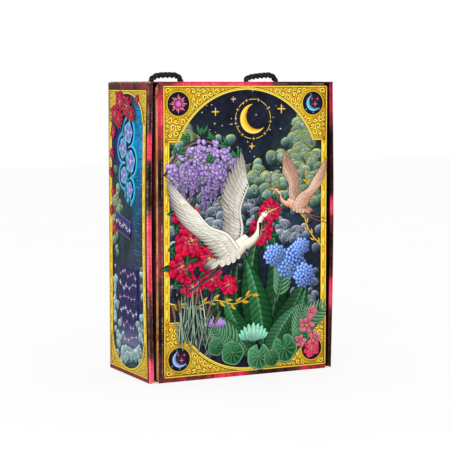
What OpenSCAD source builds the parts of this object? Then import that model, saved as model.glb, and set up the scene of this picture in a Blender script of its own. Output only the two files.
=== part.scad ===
// Upright carry carton in creased, laminated board.
// It stands on the wall that its lid is creased to. The lid is the whole front:
// it drops forward about its bottom crease, and a tuck flap along its top edge
// goes in under the top wall. The side walls are rolled over a pair of corner
// flaps and locked into the back panel, so each shows a narrow rim at the front.
// Two loops of black rope come up through the top wall and are knotted inside.
//
// Millimetres. +Z is up, the lid faces -Y, and the origin is the centre of the base.

/* [Carton] */
// Width across the two side walls
carton_w = 335; // [270:1:420]
// Depth from the back panel to the front of the lid
carton_d = 170; // [145:1:240]
// Height of the carton without its rope loops
carton_h = 480; // [380:1:620]
// Thickness of the laminated board
board_t = 2; // [1.5:0.1:2.8]
// Gap left round a panel that drops in between two others
fit = 0.3; // [0.2:0.05:0.5]

/* [Side walls] */
// Spare room beside the corner flap inside a rolled side wall
rim_play = 1; // [0.7:0.1:2]
// How far the rims stand behind the front of the lid
rim_set_back = 3; // [2.5:0.1:8]
// How far a corner flap reaches along the inside of a side wall
corner_flap_reach = 60; // [30:1:100]
// Slant of the two ends of a corner flap, in degrees
corner_flap_taper = 12; // [5:1:20]
// Die-cut relief at each end of a crease
crease_relief = 4; // [3:0.5:8]
// Width of one lock tab of an inner wall
lock_tab_w = 50; // [30:1:80]
// Height of the lower lock tab above the base
lock_tab_low = 110; // [70:1:150]
// Distance of the upper lock tab below the top
lock_tab_high = 110; // [70:1:150]
// How far a lock tab ends short of the back face
lock_tab_recess = 0.4; // [0.2:0.1:0.8]

/* [Lid] */
// Open gap between a rim and the side of the lid
side_gap = 5.2; // [2:0.1:9]
// How far the front edge of the top wall stands behind the front of the lid
top_wall_set_back = 1; // [0.5:0.1:2.5]
// How far the tuck flap reaches in under the top wall
tuck_reach = 45; // [30:1:60]
// Slant of the two ends of the tuck flap, in degrees
tuck_taper = 32; // [31:1:40]
// Spare droop of the tuck flap, so that it clears the top wall as the lid swings
tuck_droop = 2; // [1:0.5:5]
// How far a dust flap reaches back from the lid
dust_reach = 45; // [30:1:60]
// Slant of the upper end of a dust flap, where the tuck flap folds over it, in degrees
dust_taper = 60; // [59:1:66]
// Slant of the lower end of a dust flap, in degrees
dust_foot_taper = 10; // [5:1:20]
// Radius of the free corners of the flaps
flap_corner_r = 9; // [5:1:12]

/* [Rope handles] */
// Diameter of the rope
rope_d = 9; // [6:0.5:10]
// Distance between the two legs of one loop
leg_spacing = 57; // [45:1:80]
// Height of a loop above the top wall
loop_h = 16; // [15:1:40]
// Radius of the rope's two bends, at its middle line
rope_bend_r = 10; // [7:0.5:11]
// Distance between the middles of the two loops
loop_spacing = 178; // [150:1:190]
// Distance of the rope holes from the back face
rope_set_in = 60; // [45:1:70]
// Room round the rope in its hole
rope_clearance = 0.5; // [0.4:0.1:1.5]
// How far a loop pulls up before its knots stop it
pull_out = 45; // [20:1:80]
// Diameter of a knot
knot_d = 21; // [19:0.5:28]
// Length of the rope's end below its knot
rope_tail = 14; // [8:1:25]

/* [Hidden] */
$fn = 64;

// Straight steps in the round corner of a flap
arc_steps = 8;

half_w = carton_w / 2;
front_y = -carton_d / 2;
back_y = carton_d / 2;

// Rolled side walls: outer panel, corner flap with its play, inner panel
rim_w = 3 * board_t + rim_play;
rim_y = front_y + rim_set_back;
wall_front_y = rim_y + board_t;
wall_back_y = back_y - board_t;
inner_x = half_w - rim_w;
lock_tab_mids = [lock_tab_low, carton_h - lock_tab_high];

// Lid: the axis of the bottom crease is at mid board, those of the flaps at the inner face
lid_half_w = inner_x - side_gap;
lid_top = carton_h - board_t - fit;
hinge_y = front_y + board_t / 2;
hinge_z = board_t / 2;
flap_y = front_y + board_t;
tuck_z = lid_top - board_t;
dust_x = lid_half_w - board_t;

// The tuck flap swings under the top wall on an arc about the bottom crease. Its
// free edge stays inside that arc when it droops by more than this angle.
swing_droop = asin((tuck_reach + board_t) / (2 * (tuck_z - hinge_z)));
tuck_angle = swing_droop + tuck_droop;

// Ropes
rope_r = rope_d / 2;
rope_y = back_y - rope_set_in;
loop_mid_z = carton_h + loop_h - rope_r;
bend_z = loop_mid_z - rope_bend_r;
top_wall_under = carton_h - board_t;
knot_seat_z = top_wall_under - pull_out - fit;

// A box given by its lowest and its highest corner
module slab(low, high) {
    translate(low) cube(high - low);
}

// The rounded outside of a crease: a quarter of a board-thick cylinder that stands
// on the XY plane, with its axis on Z and its material towards -X and -Y
module crease(length) {
    rotate([0, 0, 180]) rotate_extrude(angle = 90) square([board_t, length]);
}

// A crease that runs along +X, with its material towards -Y and +Z or, if down, -Z
module crease_x(length, down = false) {
    mirror([0, 0, down ? 1 : 0])
        translate([length, 0, 0]) rotate([0, -90, 0]) mirror([1, 0, 0]) crease(length);
}

// The right-hand copy of a left-hand piece
module right_hand() {
    mirror([1, 0, 0]) children();
}

// Points along an arc, from one angle to another
function arc(mid, r, from, to) = [
    for (step = [0:arc_steps]) let (angle = from + (to - from) * step / arc_steps)
        mid + r * [cos(angle), sin(angle)]
];

// A flap on the XY plane. Its crease runs along X from low to high, and it reaches
// out along Y. Its ends slant inwards by their tapers, and its free corners are round.
module flap(low, high, reach, low_taper, high_taper, start) {
    function edge_x(end, way, taper, y) = end - way * y * tan(taper);
    function corner_mid(end, way, taper) = [
        edge_x(end, way, taper, reach) - way * flap_corner_r / tan(45 + taper / 2),
        reach - flap_corner_r
    ];
    linear_extrude(board_t) polygon(concat(
        [[edge_x(high, 1, high_taper, start), start]],
        arc(corner_mid(high, 1, high_taper), flap_corner_r, high_taper, 90),
        arc(corner_mid(low, -1, low_taper), flap_corner_r, 90, 180 - low_taper),
        [[edge_x(low, -1, low_taper, start), start]]
    ));
}

// Back panel: the base of the flat blank, with four slots for the lock tabs
module back_panel() {
    color("crimson") difference() {
        union() {
            slab([-half_w + board_t, wall_back_y, board_t],
                 [half_w - board_t, back_y, carton_h - board_t]);
            for (side = [0, 1]) mirror([side, 0, 0])
                translate([-half_w + board_t, wall_back_y, board_t])
                    mirror([0, 1, 0]) crease(carton_h - 2 * board_t);
            translate([-half_w + 2 * board_t, wall_back_y, carton_h - board_t])
                mirror([0, 1, 0]) crease_x(carton_w - 4 * board_t);
            translate([-half_w + 2 * board_t, wall_back_y, board_t])
                mirror([0, 1, 0]) crease_x(carton_w - 4 * board_t, down = true);
        }
        for (side = [0, 1]) mirror([side, 0, 0])
            for (mid = lock_tab_mids)
                slab([-inner_x - board_t - fit, wall_back_y - 1, mid - lock_tab_w / 2 - fit],
                     [-inner_x + fit, back_y + 1, mid + lock_tab_w / 2 + fit]);
    }
}

// A top or bottom wall as it lies at the base, from its front edge to the back
// panel, with the creases to its two corner flaps
module end_wall(edge_y) {
    flat_half = half_w - 2 * board_t;
    crease_front = wall_front_y + crease_relief;
    crease_back = wall_back_y - crease_relief;
    slab([-flat_half, edge_y, 0], [flat_half, wall_back_y, board_t]);
    for (side = [0, 1]) mirror([side, 0, 0])
        translate([-flat_half, crease_front, board_t])
            rotate([-90, 0, 0]) mirror([0, 1, 0]) crease(crease_back - crease_front);
}

module bottom_wall() {
    color("firebrick") end_wall(front_y + board_t + fit);
}

module top_wall() {
    color("firebrick") difference() {
        translate([0, 0, carton_h]) mirror([0, 0, 1]) end_wall(front_y + top_wall_set_back);
        for (loop = [-1, 1], leg = [-1, 1])
            translate([loop * loop_spacing / 2 + leg * leg_spacing / 2, rope_y, carton_h - board_t - 1])
                cylinder(r = rope_r + rope_clearance, h = board_t + 2);
    }
}

// Outer panel of a side wall. Its ends are cut edges, just inside the end walls
module left_outer_wall() {
    color("royalblue")
        slab([-half_w, wall_front_y, board_t],
             [-half_w + board_t, wall_back_y, carton_h - board_t]);
}

// Rim: the narrow panel between the two creases where the side wall rolls over
module left_rim() {
    length = carton_h - 2 * board_t;
    color("deeppink") {
        slab([-half_w + board_t, rim_y, board_t],
             [-inner_x - board_t, wall_front_y, carton_h - board_t]);
        translate([-half_w + board_t, wall_front_y, board_t]) crease(length);
        translate([-inner_x - board_t, wall_front_y, board_t]) mirror([1, 0, 0]) crease(length);
    }
}

module left_inner_wall() {
    color("ghostwhite")
        slab([-inner_x - board_t, wall_front_y, board_t + fit],
             [-inner_x, wall_back_y, carton_h - board_t - fit]);
}

// The inner panel's tabs, where they stand in the slots of the back panel
module left_lock_tabs() {
    color("ghostwhite")
        for (mid = lock_tab_mids)
            slab([-inner_x - board_t, wall_back_y, mid - lock_tab_w / 2],
                 [-inner_x, back_y - lock_tab_recess, mid + lock_tab_w / 2]);
}

// A corner flap, creased to the bottom wall and lying on the outer panel
module left_lower_corner_flap() {
    color("antiquewhite")
        translate([-half_w + board_t, 0, board_t])
            rotate([90, 0, 90])
                flap(wall_front_y + crease_relief, wall_back_y - crease_relief,
                     corner_flap_reach, corner_flap_taper, corner_flap_taper, 0);
}

module left_upper_corner_flap() {
    color("antiquewhite")
        translate([0, 0, carton_h]) mirror([0, 0, 1]) left_lower_corner_flap();
}

// Lid: one panel between the rims, with a round crease along each edge
module lid_panel() {
    side_low = board_t + crease_relief;
    side_high = tuck_z - crease_relief;
    color("midnightblue") {
        slab([-dust_x, front_y, hinge_z], [dust_x, flap_y, tuck_z]);
        translate([-dust_x, hinge_y, hinge_z]) rotate([0, 90, 0])
            cylinder(r = board_t / 2, h = 2 * dust_x);
        translate([-dust_x + crease_relief, flap_y, tuck_z])
            crease_x(2 * (dust_x - crease_relief));
        for (side = [0, 1]) mirror([side, 0, 0])
            translate([-dust_x, flap_y, side_low]) crease(side_high - side_low);
    }
}

// Tuck flap, at its rest just under the top wall
module tuck_flap() {
    half = lid_half_w - crease_relief;
    color("goldenrod")
        translate([0, flap_y, tuck_z]) rotate([-tuck_angle, 0, 0])
            flap(-half, half, tuck_reach, tuck_taper, tuck_taper, fit);
}

// Dust flap, square to the lid beside the inner wall
module left_dust_flap() {
    color("orange")
        translate([-lid_half_w, flap_y, 0]) rotate([0, 90, 0]) mirror([1, 0, 0])
            flap(board_t + crease_relief, tuck_z - crease_relief,
                 dust_reach, dust_foot_taper, dust_taper, fit);
}

// One rope from knot to knot: two legs, two bends and the grip between them
module rope_loop(mid_x) {
    half = leg_spacing / 2;
    color("black") translate([mid_x, rope_y, 0]) {
        for (side = [0, 1]) mirror([side, 0, 0]) {
            translate([-half, 0, knot_seat_z]) cylinder(r = rope_r, h = bend_z - knot_seat_z);
            translate([-half + rope_bend_r, 0, bend_z]) rotate([90, 0, 0])
                rotate([0, 0, 90]) rotate_extrude(angle = 90)
                    translate([rope_bend_r, 0]) circle(rope_r);
        }
        translate([-half + rope_bend_r, 0, loop_mid_z]) rotate([0, 90, 0])
            cylinder(r = rope_r, h = leg_spacing - 2 * rope_bend_r);
    }
}

// The knots of one rope, each a ball cut flat where the leg comes in, and a tail
module rope_knots(mid_x) {
    knot_r = knot_d / 2;
    // Depth of the ball's middle below the flat that the rope meets
    sink = sqrt(pow(knot_r, 2) - pow(rope_r, 2));
    color("black")
        for (leg = [-1, 1])
            translate([mid_x + leg * leg_spacing / 2, rope_y, knot_seat_z - sink]) {
                difference() {
                    sphere(knot_r);
                    translate([-knot_r, -knot_r, sink]) cube([knot_d, knot_d, knot_r]);
                }
                translate([0, 0, -knot_r - rope_tail]) cylinder(r = rope_r, h = rope_tail + knot_r);
            }
}

back_panel();
top_wall();
bottom_wall();
left_outer_wall();
left_rim();
left_inner_wall();
left_lock_tabs();
left_upper_corner_flap();
left_lower_corner_flap();
right_hand() left_outer_wall();  // right_outer_wall
right_hand() left_rim();  // right_rim
right_hand() left_inner_wall();  // right_inner_wall
right_hand() left_lock_tabs();  // right_lock_tabs
right_hand() left_upper_corner_flap();  // right_upper_corner_flap
right_hand() left_lower_corner_flap();  // right_lower_corner_flap
lid_panel();
tuck_flap();
left_dust_flap();
right_hand() left_dust_flap();  // right_dust_flap
rope_loop(-loop_spacing / 2);  // left_rope_loop
rope_knots(-loop_spacing / 2);  // left_rope_knots
rope_loop(loop_spacing / 2);  // right_rope_loop
rope_knots(loop_spacing / 2);  // right_rope_knots
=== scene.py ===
"""Finish of an upright carry carton in creased, laminated, printed board.

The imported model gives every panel, rope and knot its place and size. This file gives
them their looks: bowed side walls with cut edges that show the flutes, a smoky printed
margin, gilt frames with generic garden pictures in inked plates, and twisted ropes.

Lengths inside the functions are millimetres, as on a carton maker's drawing. build()
turns them into metres.
"""

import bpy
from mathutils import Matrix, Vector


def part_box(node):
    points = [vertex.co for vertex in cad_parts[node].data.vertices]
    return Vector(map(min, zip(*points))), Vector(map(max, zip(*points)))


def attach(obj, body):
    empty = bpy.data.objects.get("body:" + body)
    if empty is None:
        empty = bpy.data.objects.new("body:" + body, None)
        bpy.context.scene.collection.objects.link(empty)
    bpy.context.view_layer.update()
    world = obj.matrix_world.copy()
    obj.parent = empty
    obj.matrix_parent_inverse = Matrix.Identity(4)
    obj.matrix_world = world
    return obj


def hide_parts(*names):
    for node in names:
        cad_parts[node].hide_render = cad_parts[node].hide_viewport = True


bl_info = {
    "name": "Carry Carton",
    "version": (1, 0, 0),
    "blender": (4, 5, 0),
    "location": "View3D > Sidebar > Carton",
    "description": "Dresses a folded board carton with print, cut edges and rope handles",
    "category": "Add Mesh",
}

import bmesh
import bpy
import numpy as np
from bpy.props import FloatProperty, FloatVectorProperty, PointerProperty
from mathutils import Vector

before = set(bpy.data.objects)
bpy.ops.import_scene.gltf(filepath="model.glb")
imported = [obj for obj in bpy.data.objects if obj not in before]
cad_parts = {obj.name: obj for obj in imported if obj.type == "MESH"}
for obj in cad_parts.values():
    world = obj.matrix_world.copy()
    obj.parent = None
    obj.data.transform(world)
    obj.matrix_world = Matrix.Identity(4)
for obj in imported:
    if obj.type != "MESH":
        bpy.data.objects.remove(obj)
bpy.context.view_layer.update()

MM = 0.001


def corners(node):
    """Lowest and highest corner of a CAD node, in millimetres."""
    low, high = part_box(node)
    return np.array(low) / MM, np.array(high) / MM


# The carton's own planes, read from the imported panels
wall_low, wall_high = corners("left_outer_wall")
rim_low, rim_high = corners("left_rim")
inner_low, inner_high = corners("left_inner_wall")
lid_low, lid_high = corners("lid_panel")
top_low, top_high = corners("top_wall")

half_w = -wall_low[0]
board_t = wall_high[0] - wall_low[0]
wall_front = wall_low[1]
wall_back = wall_high[1]
rim_front = rim_low[1]
rim_inner = -rim_high[0]
carton_h = top_high[2]
lid_front = lid_low[1]
lid_half = lid_high[0]
lid_top = lid_high[2]
back_face = corners("back_panel")[1][1]
top_front = top_low[1]

# ---------------------------------------------------------------- colour


def linear(colour):
    """Screen colour to linear light: c / 12.92 below 0.04045, else ((c + 0.055) / 1.055) ^ 2.4."""
    c = np.clip(np.asarray(colour, float), 0, 1)
    return np.where(c <= 0.04045, c / 12.92, ((c + 0.055) / 1.055) ** 2.4)


def rgb(red, green, blue):
    """A screen colour from three numbers up to 255."""
    return np.array([red, green, blue]) / 255


def tone(colour, light):
    """The colour mixed with white by light, or with black where light is below 0."""
    colour = np.asarray(colour, float)
    return colour + (1 - colour) * light if light > 0 else colour * (1 + light)


def tones(colour, *lights):
    """The colour in several tones."""
    return np.array([tone(colour, light) for light in lights])


def between(low, high, share):
    """A mix of two colours or numbers: low + (high - low) * share."""
    return np.asarray(low, float) + (np.asarray(high, float) - np.asarray(low, float)) * share


# ---------------------------------------------------------------- angles


def round_of(count):
    """Angles evenly round a circle: 2 pi i / count."""
    return np.arange(count) / count * 2 * np.pi


def towards(angle):
    """Unit vectors at the angles: (cos a, sin a)."""
    return np.stack([np.cos(angle), np.sin(angle)], -1)


# ---------------------------------------------------------------- meshes


class Shell:
    """Gathers closed surfaces, as points and faces in millimetres, that become one mesh."""

    def __init__(self):
        self.points = []
        self.faces = []
        self.marks = []
        self.lays = []
        self.count = 0

    def add(self, points, faces, mark=0.0, lay=None):
        """Adds points (n, 3) and faces, each an index array (m, corners)."""
        points = np.asarray(points, float).reshape(-1, 3)
        self.points.append(points)
        self.marks.append(np.broadcast_to(np.asarray(mark, float), len(points)))
        for corner in faces:
            self.faces.append(np.asarray(corner) + self.count)
            self.lays.append(np.zeros((np.size(corner), 2)) if lay is None else lay)
        self.count += len(points)

    def sweep(self, rings, mark=0.0, lay=None):
        """A closed skin over rings (rings, around, 3), capped by one face at each end."""
        steps, around = rings.shape[:2]
        index = np.arange(steps * around).reshape(steps, around)
        turned = np.roll(index, -1, 1)
        sides = np.stack([index[:-1], turned[:-1], turned[1:], index[1:]], -1).reshape(-1, 4)
        self.add(rings, [sides], mark, lay)
        for cap in (index[0, ::-1], index[-1]):
            self.faces.append(cap[None] + self.count - steps * around)
            self.lays.append(np.zeros((around, 2)))

    def build(self, name, materials, merge=0.001):
        """Makes the object. Points closer than merge are joined and faces turned outwards."""
        mesh = mesh_of(name, np.concatenate(self.points), self.faces)
        crease = mesh.attributes.new("Crease", "FLOAT", "POINT")
        crease.data.foreach_set("value", np.concatenate(self.marks).astype(np.float32))
        lay = mesh.uv_layers.new(name="Lay")
        flat = np.concatenate([np.reshape(part, (-1, 2)) for part in self.lays])
        lay.data.foreach_set("uv", flat.astype(np.float32).ravel())
        if merge:
            merged(mesh, merge * MM, outward=True)
        return show(name, mesh, materials)


def grid_quads(index):
    """The quads of a grid of point numbers."""
    return np.stack([index[:-1, :-1], index[1:, :-1], index[1:, 1:], index[:-1, 1:]], -1).reshape(-1, 4)


def merged(mesh, gap, outward):
    """Joins points closer than gap, in metres, and turns the faces outwards if asked."""
    work = bmesh.new()
    work.from_mesh(mesh)
    bmesh.ops.remove_doubles(work, verts=work.verts, dist=gap)
    if outward:
        bmesh.ops.recalc_face_normals(work, faces=work.faces)
    work.to_mesh(mesh)
    work.free()


def mesh_of(name, points, faces):
    """A mesh from points in millimetres and a list of index arrays (faces, corners)."""
    mesh = bpy.data.meshes.new(name)
    loops = np.concatenate([np.asarray(part).ravel() for part in faces])
    sizes = np.concatenate([np.full(len(part), part.shape[1]) for part in faces])
    mesh.vertices.add(len(points))
    mesh.vertices.foreach_set("co", (np.asarray(points) * MM).astype(np.float32).ravel())
    mesh.loops.add(len(loops))
    mesh.loops.foreach_set("vertex_index", loops.astype(np.int32))
    mesh.polygons.add(len(sizes))
    starts = np.concatenate([[0], np.cumsum(sizes)[:-1]])
    mesh.polygons.foreach_set("loop_start", starts.astype(np.int32))
    mesh.update(calc_edges=True)
    mesh.validate()
    return mesh


def show(name, mesh, materials, smooth=30):
    """Links the mesh as an object at the origin, smooth where faces meet under some degrees."""
    piece = bpy.data.objects.new(name, mesh)
    bpy.context.scene.collection.objects.link(piece)
    for material in materials:
        mesh.materials.append(material)
    if smooth:
        mesh.shade_smooth()
        mesh.set_sharp_from_angle(angle=np.radians(smooth))
    return piece


def fit_in(piece, body, slot, *nodes):
    """Lets a piece ride on a body, and hides the CAD nodes it stands for. slot is not used."""
    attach(piece, body)
    if nodes:
        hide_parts(*nodes)


# ---------------------------------------------------------------- faces of the carton


def bowed(points, side):
    """Bows a side wall out: x + side * bow * sin(pi z / height) * share of the way from the back."""
    if side:
        up = np.sin(np.pi * np.clip(points[..., 2] / carton_h, 0, 1))
        ahead = np.clip((wall_back - points[..., 1]) / (wall_back - wall_front), 0, 1)
        bow = bpy.context.scene.carton_board.bow / MM
        points[..., 0] += side * bow * up * ahead
    return points


class Face:
    """An outer face: u runs right and v up as it is looked at from outside, h stands proud of it."""

    def __init__(self, origin, right, up, side=0):
        self.origin = np.array(origin, float)
        self.right = np.array(right, float)
        self.up = np.array(up, float)
        self.out = np.cross(self.right, self.up)
        self.side = side

    def place(self, u, v, h):
        """Points at origin + right * u + up * v + out * h, bowed with their wall."""
        u, v, h = np.broadcast_arrays(u, v, h)
        flat = u[..., None] * self.right + v[..., None] * self.up + h[..., None] * self.out
        return bowed(self.origin + flat, self.side)


LID = Face((0, lid_front, 0), (1, 0, 0), (0, 0, 1))
LEFT = Face((-half_w, 0, 0), (0, -1, 0), (0, 0, 1), side=-1)
RIGHT = Face((half_w, 0, 0), (0, 1, 0), (0, 0, 1), side=1)
BACK = Face((0, back_face, 0), (-1, 0, 0), (0, 0, 1))
TOP = Face((0, 0, carton_h), (1, 0, 0), (0, 1, 0))


def spaced(low, high, step, edge=2.0):
    """Grid lines about step apart, with one more close to each end."""
    inner = np.linspace(low + edge, high - edge, max(2, int(round((high - low) / step))))
    return np.concatenate([[low], inner, [high]])


def slab(shell, face, u_ends, v_ends, cut=(0, 0, 0, 0), step=12.0):
    """A board: a front and a back grid joined by rings round its edge.

    cut says for the left, right, bottom and top edge whether the two liners stand proud
    of the fluting there. The ring's corner = the edge moved in by the recess of each side.
    """
    board = bpy.context.scene.carton_board
    liner, recess = board.liner / MM, board.recess / MM
    u, v = spaced(*u_ends, step), spaced(*v_ends, step)
    grid_u, grid_v = np.meshgrid(u, v, indexing="ij")
    index = np.arange(grid_u.size).reshape(grid_u.shape)
    quads = grid_quads(index)
    shell.add(face.place(grid_u, grid_v, 0.0), [quads])
    shell.add(face.place(grid_u, grid_v, -board_t), [quads[:, ::-1]])
    s, t = (u - u[0]) / (u[-1] - u[0]), (v - v[0]) / (v[-1] - v[0])
    around_u = np.concatenate([s[:-1], np.ones(len(t) - 1), s[:0:-1], np.zeros(len(t) - 1)])
    around_v = np.concatenate([np.zeros(len(s) - 1), t[:-1], np.ones(len(s) - 1), t[:0:-1]])
    left, right, bottom, top = np.array(cut) * recess
    rows = [(0, 0), (0, liner), (1, liner), (1, board_t - liner), (0, board_t - liner), (0, board_t)]
    if not any(cut):
        rows = [rows[0], rows[-1]]
    rings = []
    for inward, depth in rows:
        ring_u = between(u[0] + inward * left, u[-1] - inward * right, around_u)
        ring_v = between(v[0] + inward * bottom, v[-1] - inward * top, around_v)
        rings.append(face.place(ring_u, ring_v, -depth))
    rings = np.array(rings)
    index = np.arange(rings.shape[0] * rings.shape[1]).reshape(rings.shape[:2])
    turned = np.roll(index, -1, 1)
    sides = np.stack([index[:-1], index[1:], turned[1:], turned[:-1]], -1).reshape(-1, 4)
    shell.add(rings, [sides])


def crease(shell, middle, first, second, along, length, side=0, mark=1.0):
    """The rounded outside of a fold: thickness * (first cos a + second sin a) for a from 0 to 90 degrees."""
    a = np.linspace(0, np.pi / 2, 8)
    arc = board_t * (np.outer(np.cos(a), first) + np.outer(np.sin(a), second))
    outline = np.concatenate([arc, np.zeros((1, 3))])
    reach = np.linspace(0, length, max(2, int(length / 8)))
    rings = np.array(middle, float) + outline[None] + reach[:, None, None] * np.array(along, float)
    if np.dot(np.cross(first, second), along) < 0:
        rings = rings[:, ::-1]
    shell.sweep(bowed(rings, side), mark=mark)


def fluting(shell, face, start, end, inward):
    """The wave between the liners of a cut edge: height = middle + rise * sin(2 pi s / pitch)."""
    board = bpy.context.scene.carton_board
    liner, recess, pitch = board.liner / MM, board.recess / MM, board.pitch / MM
    thin = board.medium / MM
    start, end, inward = (np.array(x, float) for x in (start, end, inward))
    length = np.linalg.norm(end - start)
    s = np.linspace(0, 1, int(length / pitch * 8))
    wave = -board_t / 2 + (board_t / 2 - liner - thin / 2) * np.sin(2 * np.pi * s * length / pitch)
    near, far = 0.15, recess + 0.2
    lift = [thin / 2, -thin / 2, -thin / 2, thin / 2]
    run = start + s[:, None] * (end - start)
    rings = [
        face.place(run[:, 0] + inward[0] * deep, run[:, 1] + inward[1] * deep, wave + rise)
        for deep, rise in zip((near, near, far, far), lift)
    ]
    shell.sweep(np.stack(rings, 1), mark=0.0)


# ---------------------------------------------------------------- printed shapes


class Print:
    """Inked shapes laid over one another on a face, as thin closed plates.

    Every shape is a grid of points (rows, columns, 2) with an ink at each. Its level is one
    above the highest that it covers, counted on a grid of small cells, so that no two
    shapes lie in one plane where they cross. step is the height of a level, and a plate's
    thickness is a share of it.
    """

    cell = 1.0
    step = 0.025
    thickness = 0.9

    def __init__(self, face, low, high):
        self.face = face
        self.low = np.array(low, float)
        self.high = np.array(high, float)
        cells = np.ceil((self.high - self.low) / self.cell).astype(int) + 1
        self.level = np.zeros(cells, int)
        self.pending = []

    def lift(self, points):
        """The level for one shape, which its footprint then holds."""
        for axis in (0, 1):
            points = np.moveaxis(points, axis, 0)
            gap = np.abs(np.diff(points, axis=0)).max()
            parts = max(1, int(np.ceil(gap / (self.cell * 0.6))))
            share = (np.arange(parts) / parts).reshape(-1, 1, 1)
            filled = points[:-1, None] + np.diff(points, axis=0)[:, None] * share
            points = np.concatenate([filled.reshape(-1, *points.shape[1:]), points[-1:]])
            points = np.moveaxis(points, 0, axis)
        at = ((points.reshape(-1, 2) - self.low) / self.cell).astype(int)
        at = np.clip(at, 0, np.array(self.level.shape) - 1)
        rows, columns = at[:, 0], at[:, 1]
        level = self.level[rows, columns].max() + 1
        self.level[rows, columns] = level
        return level

    def lay(self, points, inks, round_shape=False):
        """Lays shapes (shapes, rows, columns, 2) in their order, with inks that fit (..., 3).

        In a round shape the rows are spokes and the columns rings, out from the middle.
        What would leave the sheet is pressed in to its edge.
        """
        points = np.clip(np.asarray(points, float), self.low, self.high)
        if not len(points):
            return
        second = points[:, 1, -1] - points[:, 1, 0]
        if round_shape:
            first, flip = points[:, 0, -1] - points[:, 0, 0], np.s_[:, ::-1]
        else:
            first, flip = points[:, 1].mean(1) - points[:, 0].mean(1), np.s_[:, :, ::-1]
        turned = first[:, 0] * second[:, 1] - first[:, 1] * second[:, 0] < 0
        inks = np.broadcast_to(inks, points.shape[:3] + (3,)).copy()
        for values in (points, inks):
            values[turned] = values[turned][flip]
        closed = points if not round_shape else np.concatenate([points, points[:, :1]], 1)
        levels = np.array([self.lift(shape) for shape in closed])
        self.pending.append((points, inks, levels, round_shape))

    def build(self, name, material):
        """Turns the shapes laid since the last call into one piece."""
        spots, inks, under, upper, count = [], [], [], [], 0
        for points, ink, levels, round_shape in self.pending:
            shapes, rows, columns = points.shape[:3]
            net = round_net if round_shape else strip_net
            top, bottom, tops, rest = net(rows, columns)
            chosen = np.concatenate([top, bottom])
            drop = np.where(np.arange(len(chosen)) < len(top), 0, self.thickness)
            h = ((levels[:, None] - drop) * self.step)[..., None]
            flat = points.reshape(shapes, -1, 2)[:, chosen]
            spots.append(np.concatenate([flat, h], -1).reshape(-1, 3))
            inks.append(ink.reshape(shapes, -1, 3)[:, chosen].reshape(-1, 3))
            first = count + np.arange(shapes)[:, None, None] * len(chosen)
            upper += [(first + part).reshape(-1, part.shape[1]) for part in tops]
            under += [(first + part).reshape(-1, part.shape[1]) for part in rest]
            count += shapes * len(chosen)
        spots, inks, faces = np.concatenate(spots), np.concatenate(inks), under + upper
        mesh = mesh_of(name, self.face.place(spots[:, 0], spots[:, 1], spots[:, 2]), faces)
        ink = mesh.attributes.new("Ink", "FLOAT_COLOR", "POINT")
        values = np.concatenate([linear(inks), np.ones((len(inks), 1))], 1)
        ink.data.foreach_set("color", values.astype(np.float32).ravel())
        flat = (spots[:, :2] - self.low) / (self.high - self.low)
        loops = np.concatenate([part.ravel() for part in faces])
        sheet = mesh.uv_layers.new(name="OFBake")
        sheet.data.foreach_set("uv", flat[loops].astype(np.float32).ravel())
        self.pending = []
        self.level += 2
        return show(name, mesh, [material], smooth=0)


class Placed:
    """A print seen through a move, so that a motif can be drawn once and mirrored or turned."""

    def __init__(self, sheet, turn=0.0, scale=(1, 1), shift=(0, 0)):
        c, s = np.cos(turn), np.sin(turn)
        self.sheet = sheet
        self.matrix = np.array([[c, -s], [s, c]]) * np.array(scale, float)
        self.shift = np.array(shift, float)

    def lay(self, points, inks, round_shape=False):
        """Lays a motif moved: point = matrix * point + shift."""
        self.sheet.lay(np.asarray(points, float) @ self.matrix.T + self.shift, inks, round_shape)


def strip_net(rows, columns):
    """Points and faces of a plate over a grid: its top, and its sides, ends and back."""
    top = np.arange(rows * columns)
    grid = top.reshape(rows, columns)
    bottom = np.stack([grid[:, 0], grid[:, -1]], 1).ravel()
    back = rows * columns + np.arange(rows * 2).reshape(rows, 2)
    rest = [
        np.stack([back[:-1, 0], back[:-1, 1], back[1:, 1], back[1:, 0]], -1),
        np.stack([grid[:-1, 0], back[:-1, 0], back[1:, 0], grid[1:, 0]], -1),
        np.stack([grid[:-1, -1], grid[1:, -1], back[1:, 1], back[:-1, 1]], -1),
        np.concatenate([grid[0], back[0, ::-1]])[None],
        np.concatenate([grid[-1, ::-1], back[-1]])[None],
    ]
    return top, bottom, [grid_quads(grid)], rest


def round_net(spokes, rings):
    """Points and faces of a round plate: ring 0 is its middle and has one point."""
    grid = np.arange(spokes * rings).reshape(spokes, rings)
    top = np.concatenate([grid[0, :1], grid[:, 1:].T.ravel()])
    bottom = np.concatenate([grid[:, -1], grid[0, :1]])
    ring = 1 + np.arange((rings - 1) * spokes).reshape(rings - 1, spokes)
    turned = np.roll(ring, -1, 1)
    back = len(top) + np.arange(spokes)
    middle = np.full(spokes, len(top) + spokes)
    tops = [np.stack([np.zeros(spokes, int), ring[0], turned[0]], -1)]
    if rings > 2:
        between_rings = np.stack([ring[:-1], ring[1:], turned[1:], turned[:-1]], -1)
        tops.append(between_rings.reshape(-1, 4))
    rest = [
        np.stack([ring[-1], back, np.roll(back, -1), turned[-1]], -1),
        np.stack([middle, np.roll(back, -1), back], -1),
    ]
    return top, bottom, tops, rest


def columns_of(count, *values):
    """Each value as an array with one entry for each shape."""
    return [np.broadcast_to(np.asarray(value, float), (count,)) for value in values]


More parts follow.
